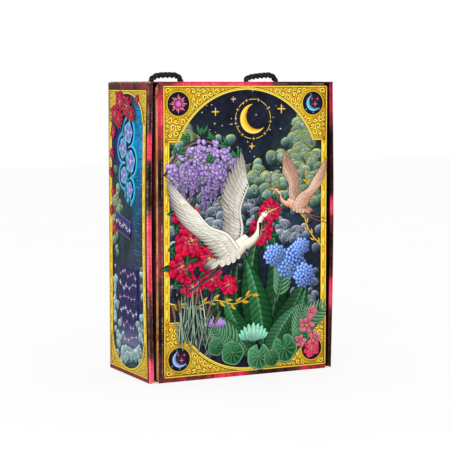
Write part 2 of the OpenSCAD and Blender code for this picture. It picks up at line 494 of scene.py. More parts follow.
def walk(start, heading, length, bend, rows):
    """Middle lines that leave start at heading and turn evenly by bend.

    Each is the running sum of equal steps along the heading at the middle of each step.
    """
    start = np.atleast_2d(np.asarray(start, float))
    heading, length, bend = columns_of(len(start), heading, length, bend)
    t = (np.arange(rows - 1) + 0.5) / (rows - 1)
    angle = heading[:, None] + bend[:, None] * t
    moves = towards(angle) * (length / (rows - 1))[:, None, None]
    path = np.concatenate([np.zeros((len(start), 1, 2)), np.cumsum(moves, 1)], 1)
    return start[:, None] + path


def bands(sheet, middle, half, across, inks, sweep=0.0):
    """Bands along middle lines: point = middle + left * half * a - ahead * |a| * half * sweep."""
    middle = np.asarray(middle, float)
    if middle.ndim == 2:
        middle = middle[None]
    ahead = np.gradient(middle, axis=1)
    ahead /= np.linalg.norm(ahead, axis=-1, keepdims=True) + 1e-9
    left = np.stack([-ahead[..., 1], ahead[..., 0]], -1)
    across = np.asarray(across, float)
    half = np.broadcast_to(half, middle.shape[:2])[..., None]
    side = left[:, :, None] * (half * across)[..., None]
    back = ahead[:, :, None] * (half * np.abs(across) * sweep)[..., None]
    sheet.lay(middle[:, :, None] + side - back, inks)


def swatch(rows, root, tip):
    """Inks (rows, columns, 3) that run evenly from the root's colours to the tip's."""
    share = np.linspace(0, 1, rows)[:, None, None]
    return np.asarray(root, float)[None] * (1 - share) + np.asarray(tip, float)[None] * share


def blades(sheet, start, heading, length, width, bend, across, inks, belly=0.5, blunt=1.0, sweep=0.0):
    """Leaves, petals and feathers: half width = width / 2 * sin(pi t^k)^blunt, widest at belly."""
    rows = inks.shape[-3]
    middle = walk(start, heading, length, bend, rows)
    (width,) = columns_of(len(middle), width)
    t = np.linspace(0, 1, rows) ** (np.log(0.5) / np.log(belly))
    half = width[:, None] / 2 * np.sin(np.pi * t) ** blunt + 0.05
    bands(sheet, middle, half, across, inks, sweep)


def rounds(sheet, centre, reach, rings, inks, spokes=16):
    """Round shapes: point = centre + reach(angle) * ring * (cos, sin)."""
    centre = np.atleast_2d(np.asarray(centre, float))
    angle = round_of(spokes)
    reach = np.broadcast_to(np.asarray(reach, float).reshape(-1, 1) if np.ndim(reach) < 2 else reach,
                            (len(centre), spokes))
    ray = towards(angle)
    rings = np.asarray(rings, float)
    spots = reach[:, :, None, None] * rings[None, None, :, None] * ray[None, :, None]
    sheet.lay(centre[:, None, None] + spots, inks, round_shape=True)


RIDGE = (-1, -0.45, 0.15, 1)
GROOVE = (-1, -0.3, -0.05, 0.6, 1)


def ridged(ink, light=0.0):
    """Inks across a raised line: dark edge, ink, highlight, dark edge."""
    return tones(ink, -0.62, light, 0.55, -0.3)


def glow(gold, share):
    """Gold mixed with pale yellow where tone() would take white."""
    return between(gold, (1.0, 0.96, 0.44), share) if share > 0 else tone(gold, share)


# Share of each of gold's primaries that is left in its shade, which turns to amber
AMBER = np.array([0.72, 0.56, 0.3])
DEEP_AMBER = np.array([0.34, 0.2, 0.1])


def gilt(gold, light=0.0):
    """Inks across a raised gold line, with a deeper edge and a yellow highlight."""
    return np.array([gold * DEEP_AMBER, glow(gold, light), glow(gold, 1.0), gold * AMBER])


def line(sheet, start, end, half, across, inks):
    """A straight band from start to end, in short pieces that follow a bowed wall."""
    pieces = max(3, int(np.hypot(*np.subtract(end, start)) / 12))
    bands(sheet, between(start, end, np.linspace(0, 1, pieces)[:, None]), half, across, inks)


def read_off(path, places, at):
    """The path's points at other places, between those that its own points have."""
    return np.stack([np.interp(at, places, axis) for axis in np.asarray(path, float).T], -1)


def arc_path(centre, radius, low, high, rows):
    """Points along an arc of a circle, with its angles in degrees."""
    angle = np.radians(np.linspace(low, high, rows))
    return np.asarray(centre, float) + radius * towards(angle)


def curls(sheet, centre, radius, facing, turn, inks, width, rows, across=RIDGE):
    """Scrolls: a spiral of radius * (1 - 0.86 t^0.8) that turns by turn, thin at both ends."""
    centre = np.atleast_2d(centre)
    radius, facing, turn = columns_of(len(centre), radius, facing, turn)
    t = np.linspace(0, 1, rows)
    angle = facing[:, None] + turn[:, None] * t
    reach = radius[:, None] * (1 - 0.86 * t**0.8)
    path = centre[:, None] + reach[..., None] * towards(angle)
    half = width * radius[:, None] * (0.35 + 0.65 * np.sin(np.pi * (0.15 + 0.8 * t)))
    bands(sheet, path, half, across, inks)


def packed(inside, low, high, largest, smallest):
    """Circles packed into a region, the roomiest spot first, as (centres, radii).

    inside(u, v) is the distance to the region's edge. Each circle's radius is the room at
    its spot, and the room is then what is left beside it.
    """
    cell = 0.75
    u, v = np.arange(low[0], high[0], cell), np.arange(low[1], high[1], cell)
    u, v = np.meshgrid(u, v, indexing="ij")
    room = inside(u, v)
    centres, radii = [], []
    while room.max() > smallest:
        at = np.unravel_index(np.argmax(np.minimum(room, largest)), room.shape)
        radius = min(room[at], largest)
        spot = (u[at], v[at])
        centres.append(spot)
        radii.append(radius)
        room = np.minimum(room, np.hypot(u - spot[0], v - spot[1]) - radius)
    return np.array(centres), np.array(radii)


# ---------------------------------------------------------------- materials


class Wiring:
    """Adds shader nodes to one tree. An input takes a value or another node's output."""

    def __init__(self, tree):
        self.tree = tree
        tree.nodes.clear()

    def add(self, kind, inputs=None, **settings):
        """A new node with its settings and inputs."""
        made = self.tree.nodes.new("ShaderNode" + kind)
        for name, value in settings.items():
            setattr(made, name, value)
        for name, value in (inputs or {}).items():
            self.put(made.inputs[name], value)
        return made

    def put(self, socket, value):
        """Links a socket to another node's output, or gives it a plain value."""
        if isinstance(value, bpy.types.NodeSocket):
            self.tree.links.new(value, socket)
        else:
            socket.default_value = value

    def maths(self, operation, *values, clamp=False):
        """The output of a Math node."""
        made = self.add("Math", dict(enumerate(values)), operation=operation, use_clamp=clamp)
        return made.outputs[0]

    def plus(self, *values, **more):
        """The sum of the values."""
        return self.maths("ADD", *values, **more)

    def minus(self, *values):
        """The first value less the second."""
        return self.maths("SUBTRACT", *values)

    def times(self, *values, **more):
        """The product of the values."""
        return self.maths("MULTIPLY", *values, **more)

    def mix(self, share, low, high, blend_type="MIX"):
        """A mix of two colours."""
        made = self.add("Mix", data_type="RGBA", blend_type=blend_type)
        for index, value in ((0, share), (6, low), (7, high)):
            self.put(made.inputs[index], value)
        return made.outputs[2]

    def ramp(self, share, stops):
        """A straight colour ramp, given as (place, screen colour) stops."""
        made = self.add("ValToRGB", {"Fac": share})
        made.color_ramp.interpolation = "LINEAR"
        while len(made.color_ramp.elements) < len(stops):
            made.color_ramp.elements.new(1.0)
        for element, (place, colour) in zip(made.color_ramp.elements, stops):
            element.position = place
            element.color = (*linear(colour), 1)
        return made.outputs["Color"]

    def level(self, share, low, high, to_low=0.0, to_high=1.0):
        """A value spread from one range to another, and clamped there."""
        made = self.add("MapRange", {"Value": share, "From Min": low, "From Max": high,
                                     "To Min": to_low, "To Max": to_high})
        return made.outputs["Result"]

    def noise(self, where, scale, detail=3.0, rough=0.55, warp=0.0):
        """Noise in 0 to 1 over a vector."""
        made = self.add("TexNoise", {"Vector": where, "Scale": scale, "Detail": detail,
                                     "Roughness": rough, "Distortion": warp})
        return made.outputs["Fac"]

    def stretched(self, where, scale, shift=(0, 0, 0)):
        """The vector scaled along its axes and moved."""
        made = self.add("Mapping", {"Vector": where, "Scale": scale, "Location": shift})
        return made.outputs["Vector"]

    def object_place(self):
        """The place on the piece, in the carton's own metres."""
        return self.add("TexCoord").outputs["Object"]


def new_group(name, inputs, outputs):
    """An empty shader node group, its wiring, and its input and output nodes."""
    tree = bpy.data.node_groups.new(name, "ShaderNodeTree")
    kinds = {"value": "NodeSocketFloat", "colour": "NodeSocketColor", "vector": "NodeSocketVector"}
    for socket, kind in inputs.items():
        tree.interface.new_socket(socket, in_out="INPUT", socket_type=kinds[kind])
    for socket, kind in outputs.items():
        tree.interface.new_socket(socket, in_out="OUTPUT", socket_type=kinds[kind])
    wires = Wiring(tree)
    return tree, wires, tree.nodes.new("NodeGroupInput").outputs, tree.nodes.new("NodeGroupOutput").inputs


def use_group(wires, tree, inputs):
    """Puts a node group into a material, with its inputs, and returns its outputs."""
    made = wires.add("Group")
    made.node_tree = tree
    for name, value in inputs.items():
        wires.put(made.inputs[name], value)
    return made.outputs


def ink_grain_group():
    """Ink Grain: the colour with brush mottling and a fine press grain."""
    tree, wires, given, out = new_group(
        "Ink Grain", {"Color": "colour", "Place": "vector", "Strength": "value"}, {"Color": "colour"}
    )
    brush = wires.noise(given["Place"], 260.0, 4.0, 0.62, 0.6)
    press = wires.noise(given["Place"], 1900.0, 1.0)
    shade = wires.plus(wires.times(brush, 0.72), wires.times(press, 0.28))
    shade = wires.times(wires.minus(shade, 0.5), given["Strength"])
    gain = wires.plus(1.0, shade)
    grey = wires.add("CombineColor", {"Red": gain, "Green": gain, "Blue": gain}).outputs[0]
    wires.put(out["Color"], wires.mix(1.0, given["Color"], grey, "MULTIPLY"))
    return tree


def smoke_group():
    """Smoke: soft banks of colour from near black through red-brown to hot pink, with dark flecks."""
    tree, wires, given, out = new_group(
        "Smoke", {"Place": "vector", "Heat": "value", "Hot": "colour", "Dark": "colour"}, {"Color": "colour"}
    )
    banks = wires.noise(wires.stretched(given["Place"], (1, 1, 0.55)), 22.0, 5.0, 0.6, 0.8)
    wisps = wires.noise(wires.stretched(given["Place"], (1, 1, 0.8), (3, 1, 2)), 120.0, 4.0, 0.65, 0.3)
    heat = wires.plus(given["Heat"], wires.times(wires.minus(banks, 0.5), 0.9))
    heat = wires.plus(heat, wires.times(wires.minus(wisps, 0.5), 0.55), clamp=True)
    brown = wires.ramp(heat, [(0.0, rgb(22, 9, 8)), (0.22, rgb(52, 26, 24)), (0.42, rgb(96, 48, 46)),
                              (0.6, rgb(150, 44, 58)), (0.8, rgb(228, 52, 82)), (1.0, rgb(255, 96, 130))])
    tinted = wires.mix(wires.level(heat, 0.55, 1.0, 0.0, 0.35), brown, given["Hot"])
    deep = wires.mix(wires.level(heat, 0.3, 0.0, 0.0, 0.6), tinted, given["Dark"])
    flecks = wires.level(wires.noise(given["Place"], 700.0, 2.0, 0.7), 0.56, 0.68)
    flecked = wires.mix(wires.times(flecks, 0.45), deep, wires.mix(0.55, deep, given["Dark"]))
    wires.put(out["Color"], flecked)
    return tree


def crease_wear_group():
    """Crease Wear: a mask of cracked laminate, as dots a flute apart along a crease and a few scuffs."""
    tree, wires, given, out = new_group(
        "Crease Wear", {"Place": "vector", "Crease": "value", "Pitch": "value", "Amount": "value"},
        {"Mask": "value"},
    )
    split = wires.add("SeparateXYZ", {"Vector": given["Place"]})
    along = wires.maths("DIVIDE", split.outputs["Z"], given["Pitch"])
    dots = wires.level(wires.maths("ABSOLUTE", wires.minus(wires.maths("FRACT", along), 0.5)), 0.32, 0.42)
    cracks = wires.level(wires.noise(given["Place"], 900.0, 2.0), 0.42, 0.62)
    patchy = wires.level(wires.noise(given["Place"], 45.0, 3.0), 0.38, 0.62)
    ridge = wires.level(given["Crease"], 0.55, 1.0)
    mask = wires.times(wires.times(ridge, patchy), given["Amount"])
    wear_and_highlight = wires.maths("MAXIMUM", wires.times(dots, cracks), wires.times(cracks, 0.35))
    wires.put(out["Mask"], wires.times(mask, wear_and_highlight, clamp=True))
    return tree


def fluting_group():
    """Fluting: the height of the washboard ripple that the flutes leave in the liner, with slight pits."""
    tree, wires, given, out = new_group(
        "Fluting", {"Across": "value", "Pitch": "value", "Place": "vector"}, {"Height": "value"}
    )
    wave = wires.maths("SINE", wires.times(wires.maths("DIVIDE", given["Across"], given["Pitch"]), 2 * np.pi))
    pits = wires.noise(given["Place"], 330.0, 3.0)
    wires.put(out["Height"], wires.plus(wires.times(wave, 0.5), wires.times(pits, 0.6)))
    return tree


def fibre_group():
    """Board Fibre: pale raw board, with long fibres and specks, and their height."""
    tree, wires, given, out = new_group(
        "Board Fibre", {"Place": "vector", "Color": "colour"}, {"Color": "colour", "Height": "value"}
    )
    fibres = wires.noise(wires.stretched(given["Place"], (1, 1, 0.15)), 1500.0, 3.0, 0.7)
    clouds = wires.noise(given["Place"], 60.0, 4.0)
    specks = wires.level(wires.noise(given["Place"], 1100.0, 1.0), 0.68, 0.76)
    shade = wires.plus(wires.times(fibres, 0.16), wires.times(clouds, 0.14))
    gain = wires.plus(0.85, shade)
    grey = wires.add("CombineColor", {"Red": gain, "Green": gain, "Blue": gain}).outputs[0]
    body = wires.mix(1.0, given["Color"], grey, "MULTIPLY")
    speck = (*linear(rgb(138, 118, 96)), 1)
    wires.put(out["Color"], wires.mix(wires.times(specks, 0.5), body, speck))
    wires.put(out["Height"], fibres)
    return tree


def group(name):
    """The shared node group of that name, made at its first use."""
    makers = {"Ink Grain": ink_grain_group, "Smoke": smoke_group, "Crease Wear": crease_wear_group,
              "Fluting": fluting_group, "Board Fibre": fibre_group}
    return bpy.data.node_groups.get(name) or makers[name]()


def new_material(name):
    """A material with no nodes yet, and its wiring."""
    material = bpy.data.materials.new(name)
    material.use_nodes = True
    return material, Wiring(material.node_tree)


LAMINATE_ROUGH, LAMINATE_GLOSS = 0.4, 0.035
RAW_ROUGH, RAW_GLOSS = 0.88, 0.12
# Distances from the lid's middle, in metres, between which its upright creases begin
UPRIGHT_CREASE = (0.152, 0.1535)


def finish_surface(wires, colour, roughness, specular, height=None, depth=0.0):
    """Ends a material in one Principled BSDF. roughness may be a value or an output.

    height bumps the surface by up to depth, in metres.
    """
    shader = wires.add("BsdfPrincipled", {"Base Color": colour, "Roughness": roughness})
    shader.inputs["Specular IOR Level"].default_value = specular
    if height is not None:
        bump = wires.add("Bump", {"Height": height, "Strength": 1.0, "Distance": depth})
        wires.put(shader.inputs["Normal"], bump.outputs["Normal"])
    surface = wires.add("OutputMaterial")
    wires.put(surface.inputs["Surface"], shader.outputs["BSDF"])
    return shader


def colour(name):
    """A colour property of the inks, as a screen colour."""
    return np.array(getattr(bpy.context.scene.carton_inks, name))


def colours(*names):
    """Some colours of the inks, in the order of their names."""
    return [colour(name) for name in names]


def colour_of(name):
    """A colour property of the inks, as a linear socket value."""
    return (*linear(colour(name)), 1)


def picture_ink():
    """Printed picture: the plates' own inks under the laminate."""
    made = bpy.data.materials.get("picture_ink")
    if made:
        return made
    made, wires = new_material("picture_ink")
    place = wires.object_place()
    ink = wires.add("Attribute", attribute_name="Ink").outputs["Color"]
    grained = use_group(wires, group("Ink Grain"), {"Color": ink, "Place": place, "Strength": 0.5})
    finish_surface(wires, grained["Color"], 0.42, 0.03)
    return made


def heat_ramp(wires, value, stops):
    """A value between 0 and 1 from (millimetres, heat) stops along one axis."""
    low, high = stops[0][0], stops[-1][0]
    share = wires.level(value, low * MM, high * MM)
    spread = wires.add("FloatCurve", {"Value": share})
    curve = spread.mapping.curves[0]
    for at, heat in stops[1:-1]:
        curve.points.new((at - low) / (high - low), heat)
    curve.points[0].location = (0, stops[0][1])
    curve.points[-1].location = (1, stops[-1][1])
    spread.mapping.update()
    return spread.outputs["Value"]


def board_print(name, outside, heat, ends=(), flutes="X", upright_gilt_and_highlight=None, gold_line=None, wear=1.0,
                wear_and_highlight=None, pressed=None):
    """Laminated board: smoky print outside, raw board inside and on the cut edges.

    outside is the way the printed side faces in the piece's own frame. heat holds
    (millimetres, heat) stops up the height, and each of ends gives the height from which,
    and the side to which, other stops along the width hold instead. upright_gilt_and_highlight
    is the gilt on the upright creases, shown where a crease's mark is high. It is also a
    painted highlight, stronger on the left crease, whose mark is higher. flutes is the axis
    that runs across the flutes. gold_line is (from, to) along the depth, where the print is
    gilt. Above the height wear_and_highlight the print turns patchily pale towards the
    liner's colour: a painted highlight along the top edge. pressed is the place along the
    width of a pressed upright line, on which the laminate has cracked.
    """
    board = bpy.context.scene.carton_board
    made, wires = new_material(name)
    coords = wires.add("TexCoord")
    place = coords.outputs["Object"]
    axes = wires.add("SeparateXYZ", {"Vector": place}).outputs
    warmth = heat_ramp(wires, axes["Z"], heat)
    for height, way, stops in ends:
        here = wires.level(axes["Z"], (height - way) * MM, (height + way) * MM)
        other = heat_ramp(wires, axes["X"], stops)
        kept = wires.times(warmth, wires.minus(1.0, here))
        warmth = wires.plus(kept, wires.times(other, here))
    smoke = use_group(wires, group("Smoke"), {"Place": place, "Heat": warmth, "Hot": colour_of("hot_pink"),
                                              "Dark": colour_of("maroon")})["Color"]
    printed = use_group(wires, group("Ink Grain"),
                        {"Color": smoke, "Place": place, "Strength": 0.45})["Color"]
    ridge = wires.add("Attribute", attribute_name="Crease").outputs["Fac"]
    patchy = wires.level(wires.noise(wires.stretched(place, (1, 1, 0.4)), 160.0, 3.0), 0.3, 0.7)
    if pressed is not None:
        off = wires.maths("ABSOLUTE", wires.minus(axes["X"], pressed * MM))
        ridge = wires.maths("MAXIMUM", ridge, wires.level(off, 0.0006, 0.0013, 1.0, 0.0))
    # Gilt along the upright creases, which also stands for a painted highlight on them
    if upright_gilt_and_highlight is not None:
        tint = wires.mix(patchy, (*linear(tone(upright_gilt_and_highlight, -0.6)), 1), (*linear(upright_gilt_and_highlight), 1))
        upright = wires.level(wires.maths("ABSOLUTE", axes["X"]), *UPRIGHT_CREASE, 0.0, 0.85)
        printed = wires.mix(wires.times(wires.level(ridge, 0.7, 1.0), upright), printed, tint)
    if gold_line is not None:
        gold = wires.mix(patchy, colour_of("gold_shade"), colour_of("gold"))
        inside = wires.maths("LESS_THAN", axes["Y"], gold_line[1] * MM)
        inside = wires.times(inside, wires.maths("GREATER_THAN", axes["Y"], gold_line[0] * MM))
        printed = wires.mix(inside, printed, gold)
    mask = use_group(wires, group("Crease Wear"), {"Place": place, "Crease": ridge, "Pitch": board.pitch,
                                                   "Amount": board.wear * wear})["Mask"]
    # A patchy pale band above the given height: a painted highlight along the wall's top edge
    if wear_and_highlight is not None:
        painted_edge_highlight = wires.times(wires.level(axes["Z"], wear_and_highlight * MM, (wear_and_highlight + 0.8) * MM, 0.0, 0.45), patchy)
        mask = wires.maths("MAXIMUM", mask, painted_edge_highlight)
    printed = wires.mix(mask, printed, colour_of("liner"))
    raw = use_group(wires, group("Board Fibre"), {"Place": place, "Color": colour_of("raw_board")})
    facing = wires.add("VectorMath", {0: coords.outputs["Normal"], 1: outside}, operation="DOT_PRODUCT")
    seen = wires.maths("GREATER_THAN", facing.outputs["Value"], 0.02)
    colour = wires.mix(seen, raw["Color"], printed)
    rough = wires.level(seen, 0, 1, 0.85, LAMINATE_ROUGH)
    ripple = use_group(wires, group("Fluting"),
                       {"Across": axes[flutes], "Pitch": board.pitch, "Place": place})
    finish_surface(wires, colour, rough, LAMINATE_GLOSS, height=ripple["Height"], depth=0.00003)
    return made


def raw_board(name="raw_board", maroon_before=None):
    """Raw inner liner and cut edges. In front of maroon_before, in millimetres, it turns maroon."""
    made = bpy.data.materials.get(name)
    if made:
        return made
    made, wires = new_material(name)
    place = wires.object_place()
    raw = use_group(wires, group("Board Fibre"), {"Place": place, "Color": colour_of("raw_board")})
    shown = raw["Color"]
    if maroon_before is not None:
        depth = wires.add("SeparateXYZ", {"Vector": place}).outputs["Y"]
        edge = wires.plus(depth, wires.times(wires.noise(place, 60.0, 2.0), 0.002))
        shown = wires.mix(wires.maths("LESS_THAN", edge, (maroon_before + 1.0) * MM), shown, colour_of("maroon"))
    finish_surface(wires, shown, RAW_ROUGH, RAW_GLOSS, height=raw["Height"], depth=0.00004)
    return made


def rope_yarn():
    """Black twisted rope: fine yarn along each strand, with a patchy painted highlight on its raised crowns.
    """
    made = bpy.data.materials.get("rope_yarn")
    if made:
        return made
    made, wires = new_material("rope_yarn")
    place = wires.object_place()
    lay = wires.add("UVMap", uv_map="Lay").outputs["UV"]
    yarn = wires.add("TexWave", {"Vector": lay, "Scale": 1.0, "Distortion": 2.5, "Detail": 2.0,
                                 "Detail Scale": 3.0}, wave_type="BANDS", bands_direction="DIAGONAL")
    fluff = wires.noise(place, 2200.0, 3.0, 0.7)
    # Paler on the yarn's raised crowns, in patches: a painted highlight
    lit = wires.times(yarn.outputs["Fac"], wires.level(fluff, 0.35, 0.75))
    base = wires.mix(lit, colour_of("rope"), (*linear(rgb(74, 66, 58)), 1))
    height = wires.plus(yarn.outputs["Fac"], wires.times(fluff, 0.6))
    shader = finish_surface(wires, base, 0.82, 0.2, height=height, depth=0.0005)
    shader.inputs["Sheen Weight"].default_value = 0.15
    return made


# ---------------------------------------------------------------- ropes

STRANDS = 3
ROPE_SPOKES = 42
PATH_STEP = 1.3
# Length over which a rope's end closes to its rounded tip
WHIPPED = 1.5


def smooth_path(points, step):
    """A Catmull-Rom curve through the points, resampled at even steps."""
    points = np.asarray(points, float)
    ends = np.concatenate([[2 * points[0] - points[1]], points, [2 * points[-1] - points[-2]]])
    t = np.linspace(0, 1, 24, endpoint=False)[:, None, None]
    a, b, c, d = ends[:-3], ends[1:-2], ends[2:-1], ends[3:]
    curve = 0.5 * (2 * b + (c - a) * t + (2 * a - 5 * b + 4 * c - d) * t**2 + (3 * b - a - 3 * c + d) * t**3)
    curve = np.concatenate([curve.transpose(1, 0, 2).reshape(-1, points.shape[1]), points[-1:]])
    run = np.concatenate([[0], np.cumsum(np.linalg.norm(np.diff(curve, axis=0), axis=1))])
    even = np.linspace(0, run[-1], max(2, int(run[-1] / step)))
    return read_off(curve, run, even)


def strand_reach(angle, radius):
    """Cross-section of a laid rope: the outline of touching round strands about its middle.

    Strand radius = radius / (1 + 1 / sin(pi / strands)); its middle lies at the rest.
    """
    strand = radius / (1 + 1 / np.sin(np.pi / STRANDS))
    out = radius - strand
    off = (angle + np.pi / STRANDS) % (2 * np.pi / STRANDS) - np.pi / STRANDS
    return out * np.cos(off) + np.sqrt(np.maximum(strand**2 - (out * np.sin(off)) ** 2, (0.35 * strand) ** 2))


def lay_rope(shell, path, side, radius, lay_length):
    """A laid rope along a path: strand_reach about the path, turned once in each lay_length.

    side is a direction across the path, for each point or for all.
    """
    ahead = np.gradient(path, axis=0)
    ahead /= np.linalg.norm(ahead, axis=1, keepdims=True)
    side = np.broadcast_to(side, path.shape)
    side = side - (side * ahead).sum(1, keepdims=True) * ahead
    side /= np.linalg.norm(side, axis=1, keepdims=True)
    other = np.cross(ahead, side)
    run = np.concatenate([[0], np.cumsum(np.linalg.norm(np.diff(path, axis=0), axis=1))])
    angle = round_of(ROPE_SPOKES)
    twist = 2 * np.pi * run / lay_length
    reach = strand_reach(angle[None] - twist[:, None], radius)
    near_end = np.minimum(run, run[-1] - run) / WHIPPED
    reach *= np.sqrt(np.clip(1 - (1 - np.clip(near_end, 0, 1)) ** 2, 0.04, 1))[:, None]
    rings = path[:, None] + reach[..., None] * (
        np.cos(angle)[None, :, None] * side[:, None] + np.sin(angle)[None, :, None] * other[:, None]
    )
    u = (np.arange(ROPE_SPOKES + 1) / ROPE_SPOKES)[None] * 2 * np.pi - twist[:, None]
    lay = np.stack([u / 2.2, np.broadcast_to(run[:, None] / 5.0, u.shape)], -1)
    corners_uv = np.stack([lay[:-1, :-1], lay[:-1, 1:], lay[1:, 1:], lay[1:, :-1]], 2)
    shell.sweep(rings, lay=corners_uv.reshape(-1, 2))


class CARTON_OT_rope_handles(bpy.types.Operator):
    """Two loops of laid rope through the top wall, each tied off in two knots inside"""

    bl_idname = "carton.rope_handles"
    bl_label = "Rope Handles"

    # Middle lines above the knots, as (x, z) from the loop's middle and the top wall
    slack = {
        "left": [(-28.5, -30), (-28.5, -14), (-28.2, -3), (-26.2, 1.5), (-24.2, 5.4),
                 (-17.5, 9.2), (-8, 10.7), (8, 11.0), (18.5, 10.0), (24.4, 5.8),
                 (26.6, 1.2), (28.2, -3), (28.5, -14), (28.5, -30)],
        "right": [(-28.5, -30), (-28.5, -14), (-28.8, -3), (-29.2, 1.6), (-25.5, 6.2),
                  (-15, 8.7), (-4, 10.0), (9, 11.0), (17, 10.7), (23.6, 7.2),
                  (27.3, 1.2), (28.4, -4), (28.5, -14), (28.5, -30)],
    }

    def execute(self, context):
        rope = context.scene.carton_rope
        material = rope_yarn()
        for side, slack in self.slack.items():
            low, high = corners(side + "_rope_loop")
            knots_foot = corners(side + "_rope_knots")[0][2]
            middle, depth = (low[0] + high[0]) / 2, (low[1] + high[1]) / 2
            radius = (high[1] - low[1]) / 2
            shell = Shell()
            ends = [(slack[0][0], low[2] - carton_h), *slack, (slack[-1][0], low[2] - carton_h)]
            path = smooth_path([(middle + x, depth, carton_h + z) for x, z in ends], PATH_STEP)
            # The rope is thicker where it is out of its holes
            swollen = radius * (1.04 + 0.1 * np.clip((path[:, 2:] - carton_h) / 4, 0, 1))
            lay_rope(shell, path, (0, 1, 0), swollen, rope.lay / MM)
            loop = shell.build(side + "_handle_rope", [material], merge=0)
            fit_in(loop, side + "_rope", "black_rope", side + "_rope_loop")
            shell = Shell()
            for leg in (slack[0][0], slack[-1][0]):
                self.tie(shell, middle + leg, depth, low[2], knots_foot, radius, rope)
            knots = shell.build(side + "_handle_knots", [material], merge=0)
            fit_in(knots, side + "_rope", "black_rope", side + "_rope_knots")
        return {"FINISHED"}

    def tie(self, shell, x, y, high, low, radius, rope):
        """A trefoil knot, (sin t + 2 sin 2t, -1.3 sin 3t, cos t - 2 cos 2t), and the rope's end below it."""
        t = np.linspace(0.0, 2 * np.pi, 90)[:, None]
        size = rope.knot_grip
        across, deep, up = np.sin(t) + 2 * np.sin(2 * t), -1.3 * np.sin(3 * t), np.cos(t) - 2 * np.cos(2 * t)
        shape = np.concatenate([across, deep, up], 1)
        hang, thinned = 11.2, 0.86
        spot = np.array([x, y, high - hang])
        turn = np.concatenate([np.sin(t), np.zeros_like(t), np.cos(t)], 1)
        lay_rope(shell, spot + shape * size, turn, radius * thinned, rope.lay / MM)
        tail = [(x, y, high + 0.2), (x + 1, y - 1, high - 8), (x - 1, y + 1, high - 18), (x, y, low + 0.5)]
        lay_rope(shell, smooth_path(tail, PATH_STEP), (0, 1, 0), radius, rope.lay / MM)


# ---------------------------------------------------------------- boards

# Heat of the smoky print as (millimetres, heat): up a panel, or across the lid at its top and foot
LEFT_RIM_HEAT = [(0, 1.0), (28, 0.95), (50, 0.42), (105, 0.4), (135, 0.5), (155, 0.86), (255, 0.86),
                 (280, 0.35), (295, 0.12), (342, 0.12), (362, 0.76), (388, 0.82), (410, 0.3), (480, 0.24)]
RIGHT_RIM_HEAT = [(0, 0.3), (60, 0.36), (95, 0.5), (112, 0.95), (136, 0.95), (160, 0.35), (215, 0.2),
                  (255, 0.5), (272, 0.92), (290, 0.3), (310, 0.1), (390, 0.16), (424, 0.5), (450, 0.62),
                  (480, 0.66)]
LID_HEAT = [(0, 0.4), (50, 0.34), (99, 0.2), (150, 0.36), (212, 0.6), (262, 0.4), (324, 0.18), (366, 0.4),
            (389, 0.6), (424, 0.72), (447, 0.66), (480, 0.5)]
LID_TOP_HEAT = [(-155, 0.45), (-138, 0.52), (-122, 0.62), (-100, 0.8), (-70, 0.84), (40, 0.8), (52, 0.62),
                (62, 0.42), (76, 0.28), (155, 0.28)]
LID_FOOT_HEAT = [(-155, 0.28), (-125, 0.55), (-70, 0.5), (-45, 0.88), (-10, 0.85), (20, 0.35), (90, 0.3),
                 (110, 0.62), (155, 0.6)]
WALL_HEAT = [(0, 0.5), (40, 0.42), (120, 0.3), (300, 0.34), (455, 0.34), (480, 0.48)]
# Heights from which the lid's top and foot take their own heat, and the place of its pressed line
LID_TOP_FROM = 473.0
LID_FOOT_TO = 9.0
LID_PRESSED = -146.5


def even_heat(heat):
    """Stops for one heat from bottom to top."""
    return [(0, heat), (480, heat)]


